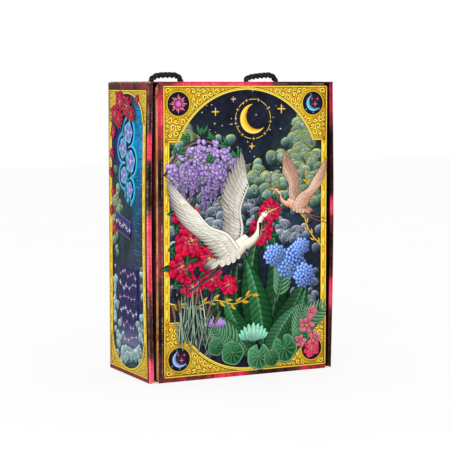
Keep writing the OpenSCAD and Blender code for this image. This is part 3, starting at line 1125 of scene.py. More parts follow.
class CARTON_OT_side_walls(bpy.types.Operator):
    """The rolled side walls: bowed outer panels with cut ends, rims and inner panels"""

    bl_idname = "carton.side_walls"
    bl_label = "Side Walls"

    def execute(self, context):
        for name, side, face, heat in (
            ("left", -1, LEFT, LEFT_RIM_HEAT),
            ("right", 1, RIGHT, RIGHT_RIM_HEAT),
        ):
            self.outer_wall(name, side, face)
            self.rim(name, side, heat)
            self.inner_wall(name, side)
            for level in ("upper", "lower"):
                self.corner_flap(f"{name}_{level}_corner_flap", side)
        return {"FINISHED"}

    def outer_wall(self, name, side, face):
        """The outer panel: one slab of board, with flutes along its cut top and foot."""
        shell = Shell()
        ends = sorted((side * wall_front, side * wall_back))
        low, high = 0.1, wall_high[2] + 1.0
        slab(shell, face, ends, (low, high), cut=(0, 0, 1, 1))
        for v, inward in ((low, (0, 1)), (high, (0, -1))):
            fluting(shell, face, (ends[0] + 0.6, v), (ends[1] - 0.6, v), inward)
        # Its top edge is painted pale from 0.6 mm below the top upwards, as a highlight of that edge
        printed = board_print(name + "_wall_print", (side, 0, 0), WALL_HEAT, flutes="Y",
                              wear_and_highlight=wall_high[2] - 0.6)
        wall = shell.build(name + "_wall_board", [printed])
        fit_in(wall, "carton", "printed_board", name + "_outer_wall")

    def rim(self, name, side, heat):
        """The rim's flat strip with a round crease on each side of it."""
        shell = Shell()
        face = Face((0, rim_front, 0), (1, 0, 0), (0, 0, 1), side)
        low, high = 0.1, rim_high[2]
        outer, inner = half_w - board_t, rim_inner + board_t - (1.3 if side < 0 else 0)
        slab(shell, face, sorted((side * outer, side * inner)), (low, high), cut=(0, 0, 1, 1), step=2.0)
        for x, way, mark in ((outer, 1, 1.0), (inner, -1, 1.0 if side < 0 else 0.45)):
            crease(shell, (side * x, wall_front, low), (side * way, 0, 0), (0, -1, 0), (0, 0, 1),
                   high - low, side, mark=mark)
        printed = board_print(name + "_rim_print", (0, -1, 0), heat, wear=1.3 if side < 0 else 0.9)
        rim = shell.build(name + "_rim_board", [printed])
        fit_in(rim, "carton", "printed_board", name + "_rim")

    def inner_wall(self, name, side):
        """The inner panel: one slab of plain board that faces the inside."""
        shell = Shell()
        face = Face((side * rim_inner, 0, 0), (0, -side, 0), (0, 0, 1), side)
        ends = sorted((-side * wall_front, -side * wall_back))
        slab(shell, face, ends, (inner_low[2], inner_high[2]), cut=(0, 0, 1, 1))
        # The lining is maroon for about its first 12 mm behind the wall's front edge
        wall = shell.build(name + "_lining_board", [raw_board("lining_board", maroon_before=wall_front + 12.0)])
        fit_in(wall, "carton", "plain_board", name + "_inner_wall")

    def corner_flap(self, node, side):
        """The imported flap, bowed with the wall that it lies in."""
        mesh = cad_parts[node].data.copy()
        merged(mesh, 1e-6, outward=False)
        spots = np.empty(len(mesh.vertices) * 3, np.float32)
        mesh.vertices.foreach_get("co", spots)
        moved = bowed(spots.reshape(-1, 3).astype(float) / MM, side) * MM
        mesh.vertices.foreach_set("co", moved.astype(np.float32).ravel())
        mesh.materials.clear()
        flap = show(node.replace("corner_flap", "corner_board"), mesh, [raw_board()], smooth=0)
        fit_in(flap, "carton", "plain_board", node)


class CARTON_OT_lid_board(bpy.types.Operator):
    """The drop-front lid: one panel with a rounded crease along every edge"""

    bl_idname = "carton.lid_board"
    bl_label = "Lid Board"

    def execute(self, context):
        shell = Shell()
        flat, high, low = lid_half - board_t, lid_top - board_t, lid_low[2] + board_t / 2
        inner_y = lid_front + board_t
        relief = 4.0
        slab(shell, LID, (-flat, flat), (low, high))
        crease(shell, (-flat + relief, inner_y, high), (0, -1, 0), (0, 0, 1), (1, 0, 0), 2 * (flat - relief))
        # The left crease's higher mark shows its gilt more strongly: a painted highlight on the crease that
        # faces the light
        for side in (-1, 1):
            foot = board_t + relief
            crease(shell, (side * flat, inner_y, foot), (side, 0, 0), (0, -1, 0), (0, 0, 1),
                   high - relief - foot, mark=1.0 if side < 0 else 0.75)
        self.foot(shell, flat, low)
        printed = board_print(
            "lid_print", (0, -1, 0), LID_HEAT, upright_gilt_and_highlight=colour("crease_gilt_highlight"), wear=1.6,
            pressed=LID_PRESSED,
            ends=((LID_TOP_FROM, 1.0, LID_TOP_HEAT), (LID_FOOT_TO, -1.0, LID_FOOT_HEAT)),
        )
        lid = shell.build("lid_board", [printed])
        fit_in(lid, "lid", "printed_board", "lid_panel")
        return {"FINISHED"}

    def foot(self, shell, half, middle):
        """The rounded foot of the lid: a half circle of half the board's thickness."""
        a = np.linspace(0, np.pi, 13)
        radius = board_t / 2
        depth, height = lid_front + radius - radius * np.cos(a), middle - radius * np.sin(a)
        arc = np.stack([0 * a, depth, height], 1)
        reach = np.linspace(-half, half, 60)
        shell.sweep(arc[None, ::-1] + reach[:, None, None] * np.array([1.0, 0, 0]), mark=0.3)


class CARTON_OT_plain_panels(bpy.types.Operator):
    """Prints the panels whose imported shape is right, and folds the top wall's front edge"""

    bl_idname = "carton.plain_panels"
    bl_label = "Other Panels"

    def execute(self, context):
        flap_line = (lid_front, lid_front + board_t + 1.4)
        finishes = {
            "back_panel": board_print("back_print", (0, 1, 0), WALL_HEAT),
            "top_wall": board_print("top_print", (0, 0, 1), even_heat(0.4)),
            "bottom_wall": board_print("bottom_print", (0, 0, -1), even_heat(0.2)),
            "tuck_flap": board_print("tuck_print", (0, 0, 1), even_heat(0.3)),
            "left_dust_flap": board_print("left_dust_print", (-1, 0, 0), even_heat(0.4),
                                          flutes="Z", gold_line=flap_line),
            "right_dust_flap": board_print("right_dust_print", (1, 0, 0), even_heat(0.4),
                                           flutes="Z", gold_line=flap_line),
            "left_lock_tabs": raw_board(),
            "right_lock_tabs": raw_board(),
        }
        for node, material in finishes.items():
            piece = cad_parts[node]
            piece.data.materials.clear()
            piece.data.materials.append(material)
        self.front_fold()
        return {"FINISHED"}

    def front_fold(self):
        """The printed fold along the top wall's front edge: a half circle carried along it."""
        shell = Shell()
        end, radius = half_w - board_t, board_t / 2
        a = np.linspace(0, np.pi, 11)
        depth, height = top_front + 0.1 - radius * np.sin(a), top_high[2] - radius + radius * np.cos(a)
        arc = np.stack([0 * a, depth, height], 1)
        reach = np.linspace(-end, end, 80)
        shell.sweep(arc[None] + reach[:, None, None] * np.array([1.0, 0, 0]), mark=0.3)
        printed = board_print("top_fold_print", (0, -1, 0), even_heat(0.4),
                              ends=((LID_TOP_FROM, 1.0, LID_TOP_HEAT),), wear=0.5)
        fold = shell.build("top_wall_front_fold", [printed])
        fit_in(fold, "carton", "printed_board")


# ---------------------------------------------------------------- gilt frames


def scrolls(part, centre, radius):
    """A grooved scroll in each circle, with a leaf in the curl of the larger ones."""
    gold, ground = colours("gold", "gold_shade")
    draw = np.random.default_rng(11)
    facing = draw.uniform(0, 2 * np.pi, len(radius))
    way = np.where(np.arange(len(radius)) % 2, 1, -1)
    groove, bright = tone(ground, -0.8), gilt(gold, 0.3)
    cut = np.array([groove, groove, glow(gold, 1.0), glow(gold, 0.9), glow(gold, 0.3)])
    # Smallest and largest radius, turn, rows and width of three sizes of scroll
    for least, most, turn, rows, width in ((2.4, 99, 8.2, 15, 0.3), (1.3, 2.4, 6.0, 10, 0.34),
                                           (0.9, 1.3, 4.0, 7, 0.4)):
        some = (radius > least) & (radius <= most)
        curls(part, centre[some], radius[some] * 0.96, facing[some], way[some] * turn,
              cut, width, rows, GROOVE)
    big = radius > 2.4
    leaf_at = 0.25 * radius[big][:, None] * towards(facing[big] + 2)
    blades(part, centre[big] + leaf_at, facing[big] + 2 + way[big] * 0.7, radius[big] * 0.95,
           radius[big] * 0.46, way[big] * 1.2, RIDGE, swatch(5, bright, glow(bright, 0.5)))


class GiltFrame:
    """A gilt frame round an arched window, drawn in one corner and mirrored to the four.

    In a corner's own coordinates x runs out from the frame's middle line and y away from
    the middle of that end's arch. reach is the frame's outer half width, window the
    window's half width, arch the arch's radius, ledge the height at which the corner
    piece ends, and crown the arch's middle to the frame's outer edge. squash flattens the
    arches and their corners.
    """

    line_half = 1.1

    def __init__(self, sheet, left, right, bottom, top, band, arch, ledge, crown, squash=1.0):
        self.sheet, self.gold, self.ground = sheet, colour("gold"), colour("gold_shade")
        self.middle = (left + right) / 2
        self.reach = (right - left) / 2
        self.window = self.reach - band
        self.arch, self.ledge, self.crown = arch, ledge, crown
        self.bottom, self.top = bottom, top
        self.squash = squash
        self.arch_z = {1: top - crown * squash, -1: bottom + crown * squash}

    def corner(self, side, end):
        """A corner's own coordinates: (middle + side * x, arch_z + end * squash * y)."""
        return Placed(self.sheet, scale=(side, end * self.squash), shift=(self.middle, self.arch_z[end]))

    def ledge_angle(self):
        """The angle at which the arch meets its ledge, arcsin(ledge / arch), in degrees."""
        return np.degrees(np.arcsin(np.clip(self.ledge / self.arch, -1, 1)))

    def gild(self, roundel, roundel_at, largest):
        """Ground plates, packed scrolls and raised lines, with room left for a roundel."""
        self.ground_plates()
        self.scrollwork(roundel, roundel_at, largest)
        self.lines()

    def ground_plates(self):
        """Plates between the arch and the frame's outer edge, lighter towards the arch."""
        plain = np.array([between(self.ground, self.gold, 0.25), between(self.ground, self.gold, 0.75)])
        split, side_rows, head_rows = 50, 14, 20
        low = arc_path((0, 0), self.arch, self.ledge_angle(), split, side_rows)
        high = arc_path((0, 0), self.arch, split, 90, head_rows)
        side = np.stack([np.full(side_rows, self.reach), np.linspace(self.ledge, self.crown, side_rows)], 1)
        head = np.stack([np.linspace(self.reach, 0, head_rows), np.full(head_rows, self.crown)], 1)
        for which in self.corners():
            part = self.corner(*which)
            for inner, outer in ((low, side), (high, head)):
                part.lay(np.stack([outer, inner], 1)[None], plain)
        self.sides()

    def corners(self):
        """The four corners, as (side, end)."""
        return [(side, end) for end in (1, -1) for side in (-1, 1)]

    def lines(self):
        """The raised lines round the frame and along the arches and ledges."""
        half, inks = self.line_half, gilt(self.gold, 0.1)
        left, right = self.middle - self.reach + half, self.middle + self.reach - half
        bottom, top = self.bottom + half, self.top - half
        for start, end in (((left, bottom), (left, top)), ((left, top), (right, top)),
                           ((right, top), (right, bottom)), ((right, bottom), (left, bottom))):
            line(self.sheet, start, end, half, RIDGE, inks)
        inner, outer = (arc_path((0, 0), self.arch + off, self.ledge_angle(), 90.4, 44) for off in (0.6, 2.9))
        for which in self.corners():
            part = self.corner(*which)
            bands(part, outer, 1.6, (-1, 1), tone(self.ground, -0.75))
            bands(part, outer, 0.95, RIDGE, gilt(self.gold, 0.4))
            bands(part, inner, 1.3, RIDGE, gilt(self.gold, 0.4))
            if self.ledge > 0:
                foot = self.arch * np.cos(np.radians(self.ledge_angle()))
                for height, wide in ((1.3, 1.4), (4.8, 0.7)):
                    line(part, (foot, self.ledge + height), (self.window + 2.2, self.ledge + height), wide,
                         RIDGE, gilt(self.gold, 0.2))

    def scrollwork(self, roundel, roundel_at, largest):
        """Packed scrolls and leaf sprigs in the corners."""
        gap = 2 * self.line_half + 0.5

        def room(x, y):
            """How far a point is from the nearest edge, ledge, arch or roundel."""
            sides = np.minimum(self.reach - gap - x, self.crown - gap - y)
            sides = np.minimum(sides, y - self.ledge - (6.0 if self.ledge > 0 else 0.6))
            arch = np.hypot(x, y) - self.arch - 3.4
            about = np.hypot(x - roundel_at[0], y - roundel_at[1]) - roundel - 2.2
            return np.minimum(np.minimum(sides, arch), about)

        centre, radius = packed(room, (0.4, self.ledge), (self.reach, self.crown), largest, 0.9)
        for which in self.corners():
            scrolls(self.corner(*which), centre, radius)

    def sides(self):
        """The straight bands: bright gold between dark lines, with pale leaves end to end."""
        pitch = 25.0
        foot = self.arch_z[-1] - self.ledge * self.squash
        head = self.arch_z[1] + self.ledge * self.squash
        half = (self.reach - self.window) / 2
        gold, shade = self.gold, self.ground
        across = (-1, -0.9, -0.82, -0.45, -0.36, 0.36, 0.45, 0.82, 0.9, 1)
        inks = np.array([tone(shade, -0.5), tone(gold, -0.1), glow(gold, 0.6), *tones(gold, 0, -0.2, -0.16),
                         glow(gold, 0.2), glow(gold, 0.7), gold, tone(shade, -0.6)])
        count = int((head - foot) / pitch)
        height = foot + (np.arange(count) + 0.5) * (head - foot) / count
        for way in (-1, 1):
            x = self.middle + way * (self.window + half)
            line(self.sheet, (x, foot), (x, head), half, across, inks)
            start = np.stack([np.full(count, x), height - pitch * 0.34], 1)
            blades(self.sheet, start, np.pi / 2, pitch * 0.68, half * 1.05, 0, REED,
                   swatch(7, glow(gilt(gold), 0.1), glow(gilt(gold), 0.6)), blunt=0.7)
            spots = start + np.array([0, -pitch * 0.16])
            rounds(self.sheet, spots, half * 0.36, (0, 0.6, 1),
                   np.array([glow(gold, 0.9), gold, tone(shade, -0.2)]), spokes=8)

    def roundel(self, which, at, radius, ink):
        """A dark disc in a raised gold ring, and the print moved to its middle."""
        part = self.corner(*which)
        rings = (0, 0.6, 0.9, 0.93, 0.965, 1.0)
        inks = np.array([*tones(ink, 0.08, 0, -0.3), tone(self.gold, -0.3), glow(self.gold, 0.7),
                         tone(self.gold, -0.6)])
        rounds(part, at, radius * 1.07, rings, inks, spokes=40)
        spot = part.matrix @ np.array(at) + part.shift
        return Placed(self.sheet, shift=spot)

    def fleurons(self):
        """A small palmette over each arch's crown."""
        size = 6.0
        for end in (1, -1):
            foot = self.arch_z[end] + end * (self.arch + 1.2)
            part = Placed(self.sheet, scale=(1, end), shift=(self.middle, foot))
            fan = np.radians([-62, -34, 0, 34, 62])
            blades(part, np.zeros((5, 2)), np.pi / 2 + fan, size * np.cos(fan * 0.8), size * 0.36, fan * 0.8,
                   RIDGE, swatch(6, gilt(self.gold, -0.2), gilt(self.gold, 0.2)))
            rounds(part, [(-size, 0.4), (size, 0.4), (0, 0)], [1.1, 1.1, 1.5], (0, 0.6, 1),
                   tones(self.gold, 0.6, 0, -0.5), spokes=9)


# ---------------------------------------------------------------- printed motifs

PETAL = (-1, -0.86, -0.35, 0.15, 0.6, 0.88, 1)
LEAF = (-1, -0.86, -0.14, 0, 0.14, 0.86, 1)
VANE = (-1, -0.72, 0, 0.72, 1)
REED = (-1, -0.3, 0.4, 1)
DOT = (0, 0.6, 1)
# Rings of petals, from the outside in, as (petals, share of the flower's radius)
FULL_FLOWER = ((9, 1.0), (8, 0.8), (7, 0.6), (6, 0.42), (4, 0.26))
SMALL_FLOWER = ((5, 1.0), (5, 0.7))


def petal_inks(ink, rows=6):
    """Petal: deep at the root, bright towards the tip, with a dark outline."""
    full = np.asarray(ink, float) / np.max(ink)
    edge, low, high = tone(ink, -0.72), tone(ink, -0.5), tone(full, 0.14)
    root = [edge, low, tone(ink, -0.3), low, tone(ink, -0.4), low, edge]
    tip = [edge, ink, high, between(ink, full, 0.6), full, tone(ink, -0.1), edge]
    return swatch(rows, root, tip)


def leaf_inks(ink, rows=9, bars=0.2):
    """Leaf: a pale midrib, one half darker, and bars across where the veins run."""
    edge = tone(ink, -0.78)
    root = [edge, *tones(ink, -0.5, -0.35, 0.1, -0.2, -0.3), edge]
    tip = [edge, *tones(ink, -0.2, -0.05, 0.5, 0.2, 0.08), edge]
    inks = swatch(rows, root, tip)
    inks[1::2] = tone(inks[1::2], -bars)
    return inks


def feather_inks(ink, tip, rows=7):
    """Feather: a fine dark edge, a pale vane and a shaft; the tip's colour in its last quarter."""
    root = tones(ink, -0.34, 0.1, -0.14, 0.3, -0.42)
    end = tones(tip, -0.5, 0, -0.25, 0.25, -0.6)
    share = np.clip(np.linspace(-1.6, 1, rows), 0, 1)[:, None, None]
    return root[None] * (1 - share) + end[None] * share


def varied(inks, count, draw, spread=0.12):
    """A copy of the inks for each shape, a little lighter or darker."""
    gain = draw.uniform(-spread, spread, count).reshape(-1, *([1] * np.ndim(inks)))
    return np.clip(np.asarray(inks)[None] * (1 + gain), 0, 1)


def billows(sheet, centre, radius, body, rim, draw):
    """Cloud billows, the highest laid first, each lit round to the upper left with a bright rim.

    reach = radius * (1 + 0.07 cos(3 angle + phase)); the inks follow lit_round.
    """
    spokes = 18
    order = np.argsort(-centre[:, 1])
    centre, radius = centre[order], radius[order]
    count = len(centre)
    angle = round_of(spokes)
    phase = draw.uniform(0, 6, count)[:, None]
    reach = radius[:, None] * (1 + 0.07 * np.cos(3 * angle + phase))
    lit = lit_round(angle, 2.0)
    inks = np.stack([
        between(tone(body, -0.1), tone(body, 0.12), lit),
        between(tone(body, -0.3), tone(body, 0.24), lit),
        between(tone(body, -0.5), tone(body, 0.46), lit),
        between(tone(body, -0.6), rim, lit**1.6),
        between(tone(body, -0.72), tone(rim, -0.55), lit),
    ], 1)
    rounds(sheet, centre, reach, (0, 0.5, 0.8, 0.92, 1), varied(inks, count, draw, 0.16), spokes)
    big = radius > np.median(radius)
    pale = np.array([tone(body, -0.3), tone(body, 0.5), between(body, rim, 0.6), tone(body, -0.4)])
    facing = draw.uniform(1.4, 3.2, int(big.sum()))
    curls(sheet, centre[big], radius[big] * 0.66, facing, -5.2, pale, width=0.14, rows=12)


def scattered(anchors, draw):
    """Spots and sizes round anchors of (x, y, spread across, spread up, count, size)."""
    spots, sizes = [], []
    for x, y, wide, high, count, size in anchors:
        spots.append(draw.normal((x, y), (wide, high), (count, 2)))
        sizes.append(size * draw.uniform(0.6, 1.25, count))
    return np.concatenate(spots), np.concatenate(sizes)


def bloom(sheet, centre, radius, ink, draw, rings=FULL_FLOWER):
    """A full flower: rings of broad petals, each ring smaller, turned and a little paler."""
    for index, (count, share) in enumerate(rings):
        facing = round_of(count) + index * 0.5 + draw.uniform(-0.15, 0.15, count)
        start = np.array(centre) + 0.1 * share * radius * towards(facing)
        size = radius * share * draw.uniform(0.86, 1.08, count)
        inks = varied(petal_inks(tone(ink, -0.12 + 0.09 * index)), count, draw, 0.1)
        blades(sheet, start, facing, size, size * 0.74, draw.uniform(-0.5, 0.5, count), PETAL, inks,
               belly=0.66, blunt=0.62)
    dots = np.array(centre) + draw.normal(0, radius * 0.07, (9, 2))
    heart = colour("gold")
    rounds(sheet, dots, radius * 0.05, DOT, tones(heart, 0.5, 0, -0.5), 7)


def lit_round(angle, light=2.2):
    """How much light each angle of a round motif gets: 0.5 + 0.5 cos(angle - light)."""
    return (0.5 + 0.5 * np.cos(angle - light))[:, None]


def lily_pad(sheet, centre, radius, ink, notch):
    """A round floating leaf: reach = radius (1 + 0.04 cos 5a), cut in at the notch, with paler veins."""
    spokes = 40
    angle = round_of(spokes)
    off = (angle - notch + np.pi) % (2 * np.pi) - np.pi
    reach = radius * (1 + 0.04 * np.cos(5 * angle)) * (1 - 0.8 * np.exp(-((off / 0.13) ** 2)))
    vein = (np.arange(spokes) % 4 == 0)[:, None]
    lit = lit_round(angle)
    inks = np.stack([
        np.broadcast_to(tone(ink, 0.35), (spokes, 3)),
        np.where(vein, tone(ink, 0.3), between(tone(ink, -0.45), tone(ink, -0.1), lit)),
        np.where(vein, tone(ink, 0.22), between(tone(ink, -0.4), tone(ink, 0.08), lit)),
        np.where(vein, tone(ink, -0.05), between(tone(ink, -0.2), tone(ink, 0.24), lit)),
        np.broadcast_to(tone(ink, 0.42), (spokes, 3)),
        np.broadcast_to(tone(ink, -0.78), (spokes, 3)),
    ], 1)
    rounds(sheet, [centre], reach[None], (0, 0.1, 0.5, 0.86, 0.94, 1), inks, spokes)


def fern(sheet, start, heading, length, bend, ink):
    """A frond: a bent stem with pairs of leaflets that shorten towards its tip."""
    rows, pairs = 24, 11
    stem = walk(start, heading, length, bend, rows)
    bands(sheet, stem, 0.6, RIDGE, ridged(ink))
    t = np.linspace(0.12, 0.97, pairs)
    spots = read_off(stem[0], np.linspace(0, 1, rows), t)
    facing = heading + bend * t
    for way in (-1, 1):
        size = length * 0.34 * np.sin(np.pi * (0.25 + 0.72 * t)) ** 0.8
        inks = swatch(5, tones(ink, -0.65, -0.15, 0.15, -0.7), tones(ink, -0.6, 0.12, 0.45, -0.6))
        blades(sheet, spots, facing + way * 0.95, size, size * 0.3, -way * 0.5, REED, inks, belly=0.4)


def sprig(sheet, points, ink, leaves, size, half):
    """A branch through the points, with leaves on both sides in turn."""
    path = smooth_path(points, 3.0)
    bands(sheet, path[None], half * np.linspace(1.3, 0.5, len(path)), RIDGE, ridged(ink))
    at = np.linspace(0.06, 0.99, leaves) * (len(path) - 1)
    spots = read_off(path, np.arange(len(path)), at)
    ahead = np.gradient(path, axis=0)
    facing = np.interp(at, np.arange(len(path)), np.unwrap(np.arctan2(ahead[:, 1], ahead[:, 0])))
    way = np.where(np.arange(leaves) % 2, 1, -1)
    blades(sheet, spots, facing + way * 0.8, size, size * 0.42, -way * 0.5, LEAF, leaf_inks(ink, 7, 0.12),
           belly=0.4)


def raceme(sheet, top, length, width, ink, draw, count, floret):
    """A hanging spray: florets packed in a cone, smaller and darker towards its tip."""
    t = np.sort(draw.uniform(0, 1, count)) ** 0.85
    across = draw.uniform(-1, 1, count) * width / 2 * (1 - t) ** 0.7
    spots = np.array(top) + np.stack([across + 2 * np.sin(5 * t), -length * t], 1)
    spokes = 10
    angle = round_of(spokes)
    phase = draw.uniform(0, 6, count)[:, None]
    reach = floret * (1.1 - 0.5 * t)[:, None] * (1 + 0.22 * np.cos(2 * angle + phase))
    lit = lit_round(angle)
    inks = np.stack([
        np.broadcast_to(tone(ink, 0.55), (spokes, 3)),
        between(tone(ink, -0.2), tone(ink, 0.35), lit),
        np.broadcast_to(tone(ink, -0.55), (spokes, 3)),
    ], 1)
    inks = varied(inks, count, draw, 0.12) * (1 - 0.3 * t)[:, None, None, None]
    rounds(sheet, spots, reach, (0, 0.72, 1), inks, spokes)


def crescent(sheet, centre, radius, facing, gold):
    """A moon between two arcs that meet at its horns."""
    out = arc_path((0, 0), radius, 62, 298, 30)
    horn = out[0]
    inner_middle = np.array([radius * 0.42, 0])
    reach = np.hypot(*(horn - inner_middle))
    start = np.degrees(np.arctan2(horn[1], horn[0] - inner_middle[0]))
    inner = arc_path(inner_middle, reach, start, 360 - start, 30)
    share = np.array([0, 0.06, 0.2, 0.5, 0.8, 0.95, 1])[None, :, None]
    grid = out[:, None] * (1 - share) + inner[:, None] * share
    inks = tones(gold, -0.6, 0.1, 0.5, 0.15, -0.12, -0.3, -0.6)
    Placed(sheet, facing, shift=centre).lay(grid[None], inks)


def stars(sheet, centre, radius, ink):
    """Four-pointed stars: reach = radius * (0.16 + 0.84 |cos 2a|^5)."""
    spokes = 32
    angle = round_of(spokes)
    radius = np.broadcast_to(radius, (len(np.atleast_2d(centre)),))
    reach = radius[:, None] * (0.16 + 0.84 * np.abs(np.cos(2 * angle)) ** 5.0)
    rounds(sheet, centre, reach, DOT, tones(ink, 0.7, 0, -0.15), spokes)


def feather_row(sheet, bone, count, heading, length, width, inks, bend, low=0.0):
    """Feathers along a bone; heading, length and width run from its first to its last feather."""
    s = np.linspace(low, 1.0, count)
    spots = read_off(bone, np.linspace(0, 1, len(bone)), s)
    share = np.linspace(0, 1, count)
    blades(sheet, spots, between(*heading, share), between(*length, share), between(*width, share), bend,
           VANE, inks, belly=0.62, blunt=0.55)


def wing(sheet, bone, lift, size, ink, tip, draw):
    """A wing: long flight feathers, two rows of coverts and the leading edge along the bone."""
    bone = smooth_path(bone, 2.0)
    shade = tone(ink, -0.12)
    feather_row(sheet, bone, 19, (lift + 0.9, lift - 0.35), (size * 0.6, size * 1.05), (7.5, 7.0),
                varied(feather_inks(shade, tip, 8), 19, draw, 0.06), bend=-0.3, low=0.05)
    feather_row(sheet, bone, 20, (lift + 0.8, lift - 0.2), (size * 0.42, size * 0.6), (7.0, 6.0),
                varied(feather_inks(ink, tone(ink, -0.18)), 20, draw, 0.05), bend=-0.3, low=0.03)
    feather_row(sheet, bone, 22, (lift + 0.7, lift - 0.1), (size * 0.26, size * 0.34), (6.0, 5.0),
                varied(feather_inks(tone(ink, 0.3), tone(ink, -0.08)), 22, draw, 0.05), bend=-0.2)
    bands(sheet, bone[None], 2.2 * np.linspace(1.2, 0.5, len(bone)), REED, tones(ink, -0.5, 0.5, 0.2, -0.35))


CRANE_DARK = rgb(38, 34, 42)


def crane(sheet, ink, dark, draw):
    """A crane in flight to the right: far wing, legs, tail, body, neck, head and near wing."""
    cap, bill = colour("crimson"), rgb(206, 178, 120)
    wing(sheet, [(8, 4), (24, 28), (30, 56), (52, 82)], 2.0, 46,
         tone(ink, -0.14), between(ink, dark, 0.5), draw)
    for drop in (0, 1):
        leg = walk([(-16, -4 - 3 * drop)], np.pi + 0.28 + 0.1 * drop, 76, -0.3, 14)
        bands(sheet, leg, np.linspace(1.7, 0.8, 14), REED, tones(dark, -0.5, 0, 0.3, 0))
        blades(sheet, np.repeat(leg[:, -1], 3, 0), np.pi + np.array([-0.35, 0, 0.35]), 11, 1.9, 0.2, REED,
               swatch(5, [dark] * 4, [tone(dark, -0.4)] * 4))
    tail = np.linspace(-0.5, 0.45, 9)
    blades(sheet, np.stack([-18 + 0 * tail, 3 * tail], 1), np.pi + tail, 30 - 12 * np.abs(tail), 7.5, -tail,
           VANE, feather_inks(tone(ink, -0.1), dark), belly=0.6, blunt=0.6)
    body = walk([(-24, -1)], 0.06, 56, 0.5, 18)
    swell = 11.5 * np.sin(np.pi * np.linspace(0.06, 0.86, 18)) ** 0.7
    bands(sheet, body, swell, PETAL, tones(ink, -0.6, -0.28, -0.05, 0, 0.4, 0.15, -0.5))
    for x, y, size in ((-14, -3, 9), (-6, -4, 8), (2, -4, 8), (10, -2, 6)):
        fan = np.linspace(-0.6, 0.7, 6)
        blades(sheet, np.stack([x + 0 * fan, y + 7 * fan], 1), np.pi + 0.1 * fan, size, 4.6, 0, VANE,
               feather_inks(tone(ink, 0.2), tone(ink, -0.12), 5), belly=0.6, blunt=0.6)
    neck = smooth_path([(22, 6), (36, 9), (47, 17), (53, 29), (62, 36)], 2.5)
    girth = np.linspace(8.2, 3.6, len(neck)) * (1 - 0.22 * np.sin(np.pi * np.linspace(0, 1, len(neck))))
    bands(sheet, neck[None], girth, PETAL, np.array([tone(dark, -0.3),
                                                     *tones(ink, -0.5, -0.15, 0, 0.4, 0.1, -0.55)]))
    bands(sheet, walk([(46, 12)], 1.1, 17, 0.1, 7), np.linspace(0.6, 2.6, 7), REED, np.array([dark] * 4))
    blades(sheet, [(63, 36)], 0.12, 25, 4.2, -0.16, REED,
           swatch(6, [*tones(bill, -0.5, 0, 0.3), dark], [*tones(bill, -0.6, 0, 0), dark]), belly=0.2)
    rounds(sheet, [(62.5, 37)], 5.3, (0, 0.6, 0.9, 1), tones(ink, 0.3, 0, -0.2, -0.6))
    rounds(sheet, [(62, 40.4)], [[3.4, 3.2, 2.2, 1.6, 2.2, 3.2, 3.4, 3.0, 1.6, 1.2, 1.6, 3.0]], (0, 0.7, 1),
           tones(cap, 0.3, 0, -0.5), 12)
    rounds(sheet, [(65, 37.4)], 1.1, (0, 0.5, 1),
           np.array([rgb(250, 240, 220), rgb(20, 16, 14), rgb(10, 8, 8)]), 9)
    wing(sheet, [(10, 5), (0, 30), (-22, 50), (-34, 78)], 2.55, 58, ink, between(ink, dark, 0.62), draw)


# ---------------------------------------------------------------- printed grounds


def drift(u, v, size, seed):
    """Soft mottle from 0 to 1: 0.5 + the mean of nine sine waves in seeded directions."""
    draw = np.random.default_rng(seed)
    total = np.zeros(np.shape(u))
    for angle, phase, scale in draw.uniform((0, 0, 0.5), (2 * np.pi, 2 * np.pi, 1.6), (9, 3)):
        total += np.sin((u * np.cos(angle) + v * np.sin(angle)) * 2 * np.pi / (size * scale) + phase)
    return np.clip(0.5 + total / 9, 0, 1)


def spot(u, v, at, reach):
    """A soft patch: exp(-(du / reach_u)^2 - (dv / reach_v)^2)."""
    return np.exp(-(((u - at[0]) / reach[0]) ** 2) - ((v - at[1]) / reach[1]) ** 2)


def wash(sheet, low, high, cell, ground, patches):
    """A printed ground: soft patches of ink (at, reach, ink, strength) over one ink, mottled."""
    u = np.linspace(low[0], high[0], int((high[0] - low[0]) / cell) + 2)
    v = np.linspace(low[1], high[1], int((high[1] - low[1]) / cell) + 2)
    u, v = np.meshgrid(u, v, indexing="ij")
    inks = np.broadcast_to(ground, u.shape + (3,)).astype(float)
    for at, reach, ink, strength in patches:
        inks = between(inks, np.asarray(ink), np.clip(spot(u, v, at, reach) * strength, 0, 1)[..., None])
    mottle = 0.35
    shade = 1 + mottle * (drift(u, v, 46, 1) - 0.5) + mottle * (drift(u, v, 13, 2) - 0.5)
    sheet.lay(np.stack([u, v], -1)[None], np.clip(inks * shade[..., None], 0, 1)[None])


# ---------------------------------------------------------------- the lid's picture

sheets = {}
# Width of the side bands, arch radius, height of its ledge, and arch's middle to outer edge
PANEL_FRAME = {"band": 10.2, "arch": 131.0, "ledge": 47.5, "crown": 137.0}
ROUNDEL_AT = (122.0, 108.5)
ROUNDEL_ROOM = 20.4
ROUNDEL_DISC = 19.4


def lid_sheet():
    """The lid's print, which every step on the lid adds to."""
    if "lid" not in sheets:
        sheets["lid"] = Print(LID, (-151, 2), (153.4, 475.5))
    return sheets["lid"]


def print_piece(name, sheet, body="carton"):
    """Makes a piece of print on the body from what was laid on the sheet since the last one."""
    fit_in(sheet.build(name, picture_ink()), body, "printed_board")


def panel_frame(sheet, left, right, top, icons):
    """The gilt frame of the lid or the back, with an icon of its own ink in each roundel."""
    gilded = GiltFrame(sheet, left, right, 7.5, top, **PANEL_FRAME)
    gilded.gild(ROUNDEL_ROOM, ROUNDEL_AT, 5.4)
    for which, (icon, ink) in zip(gilded.corners(), icons):
        roundel_icon(gilded.roundel(which, ROUNDEL_AT, ROUNDEL_DISC, rgb(28, 30, 48)), icon, ink)
    gilded.fleurons()


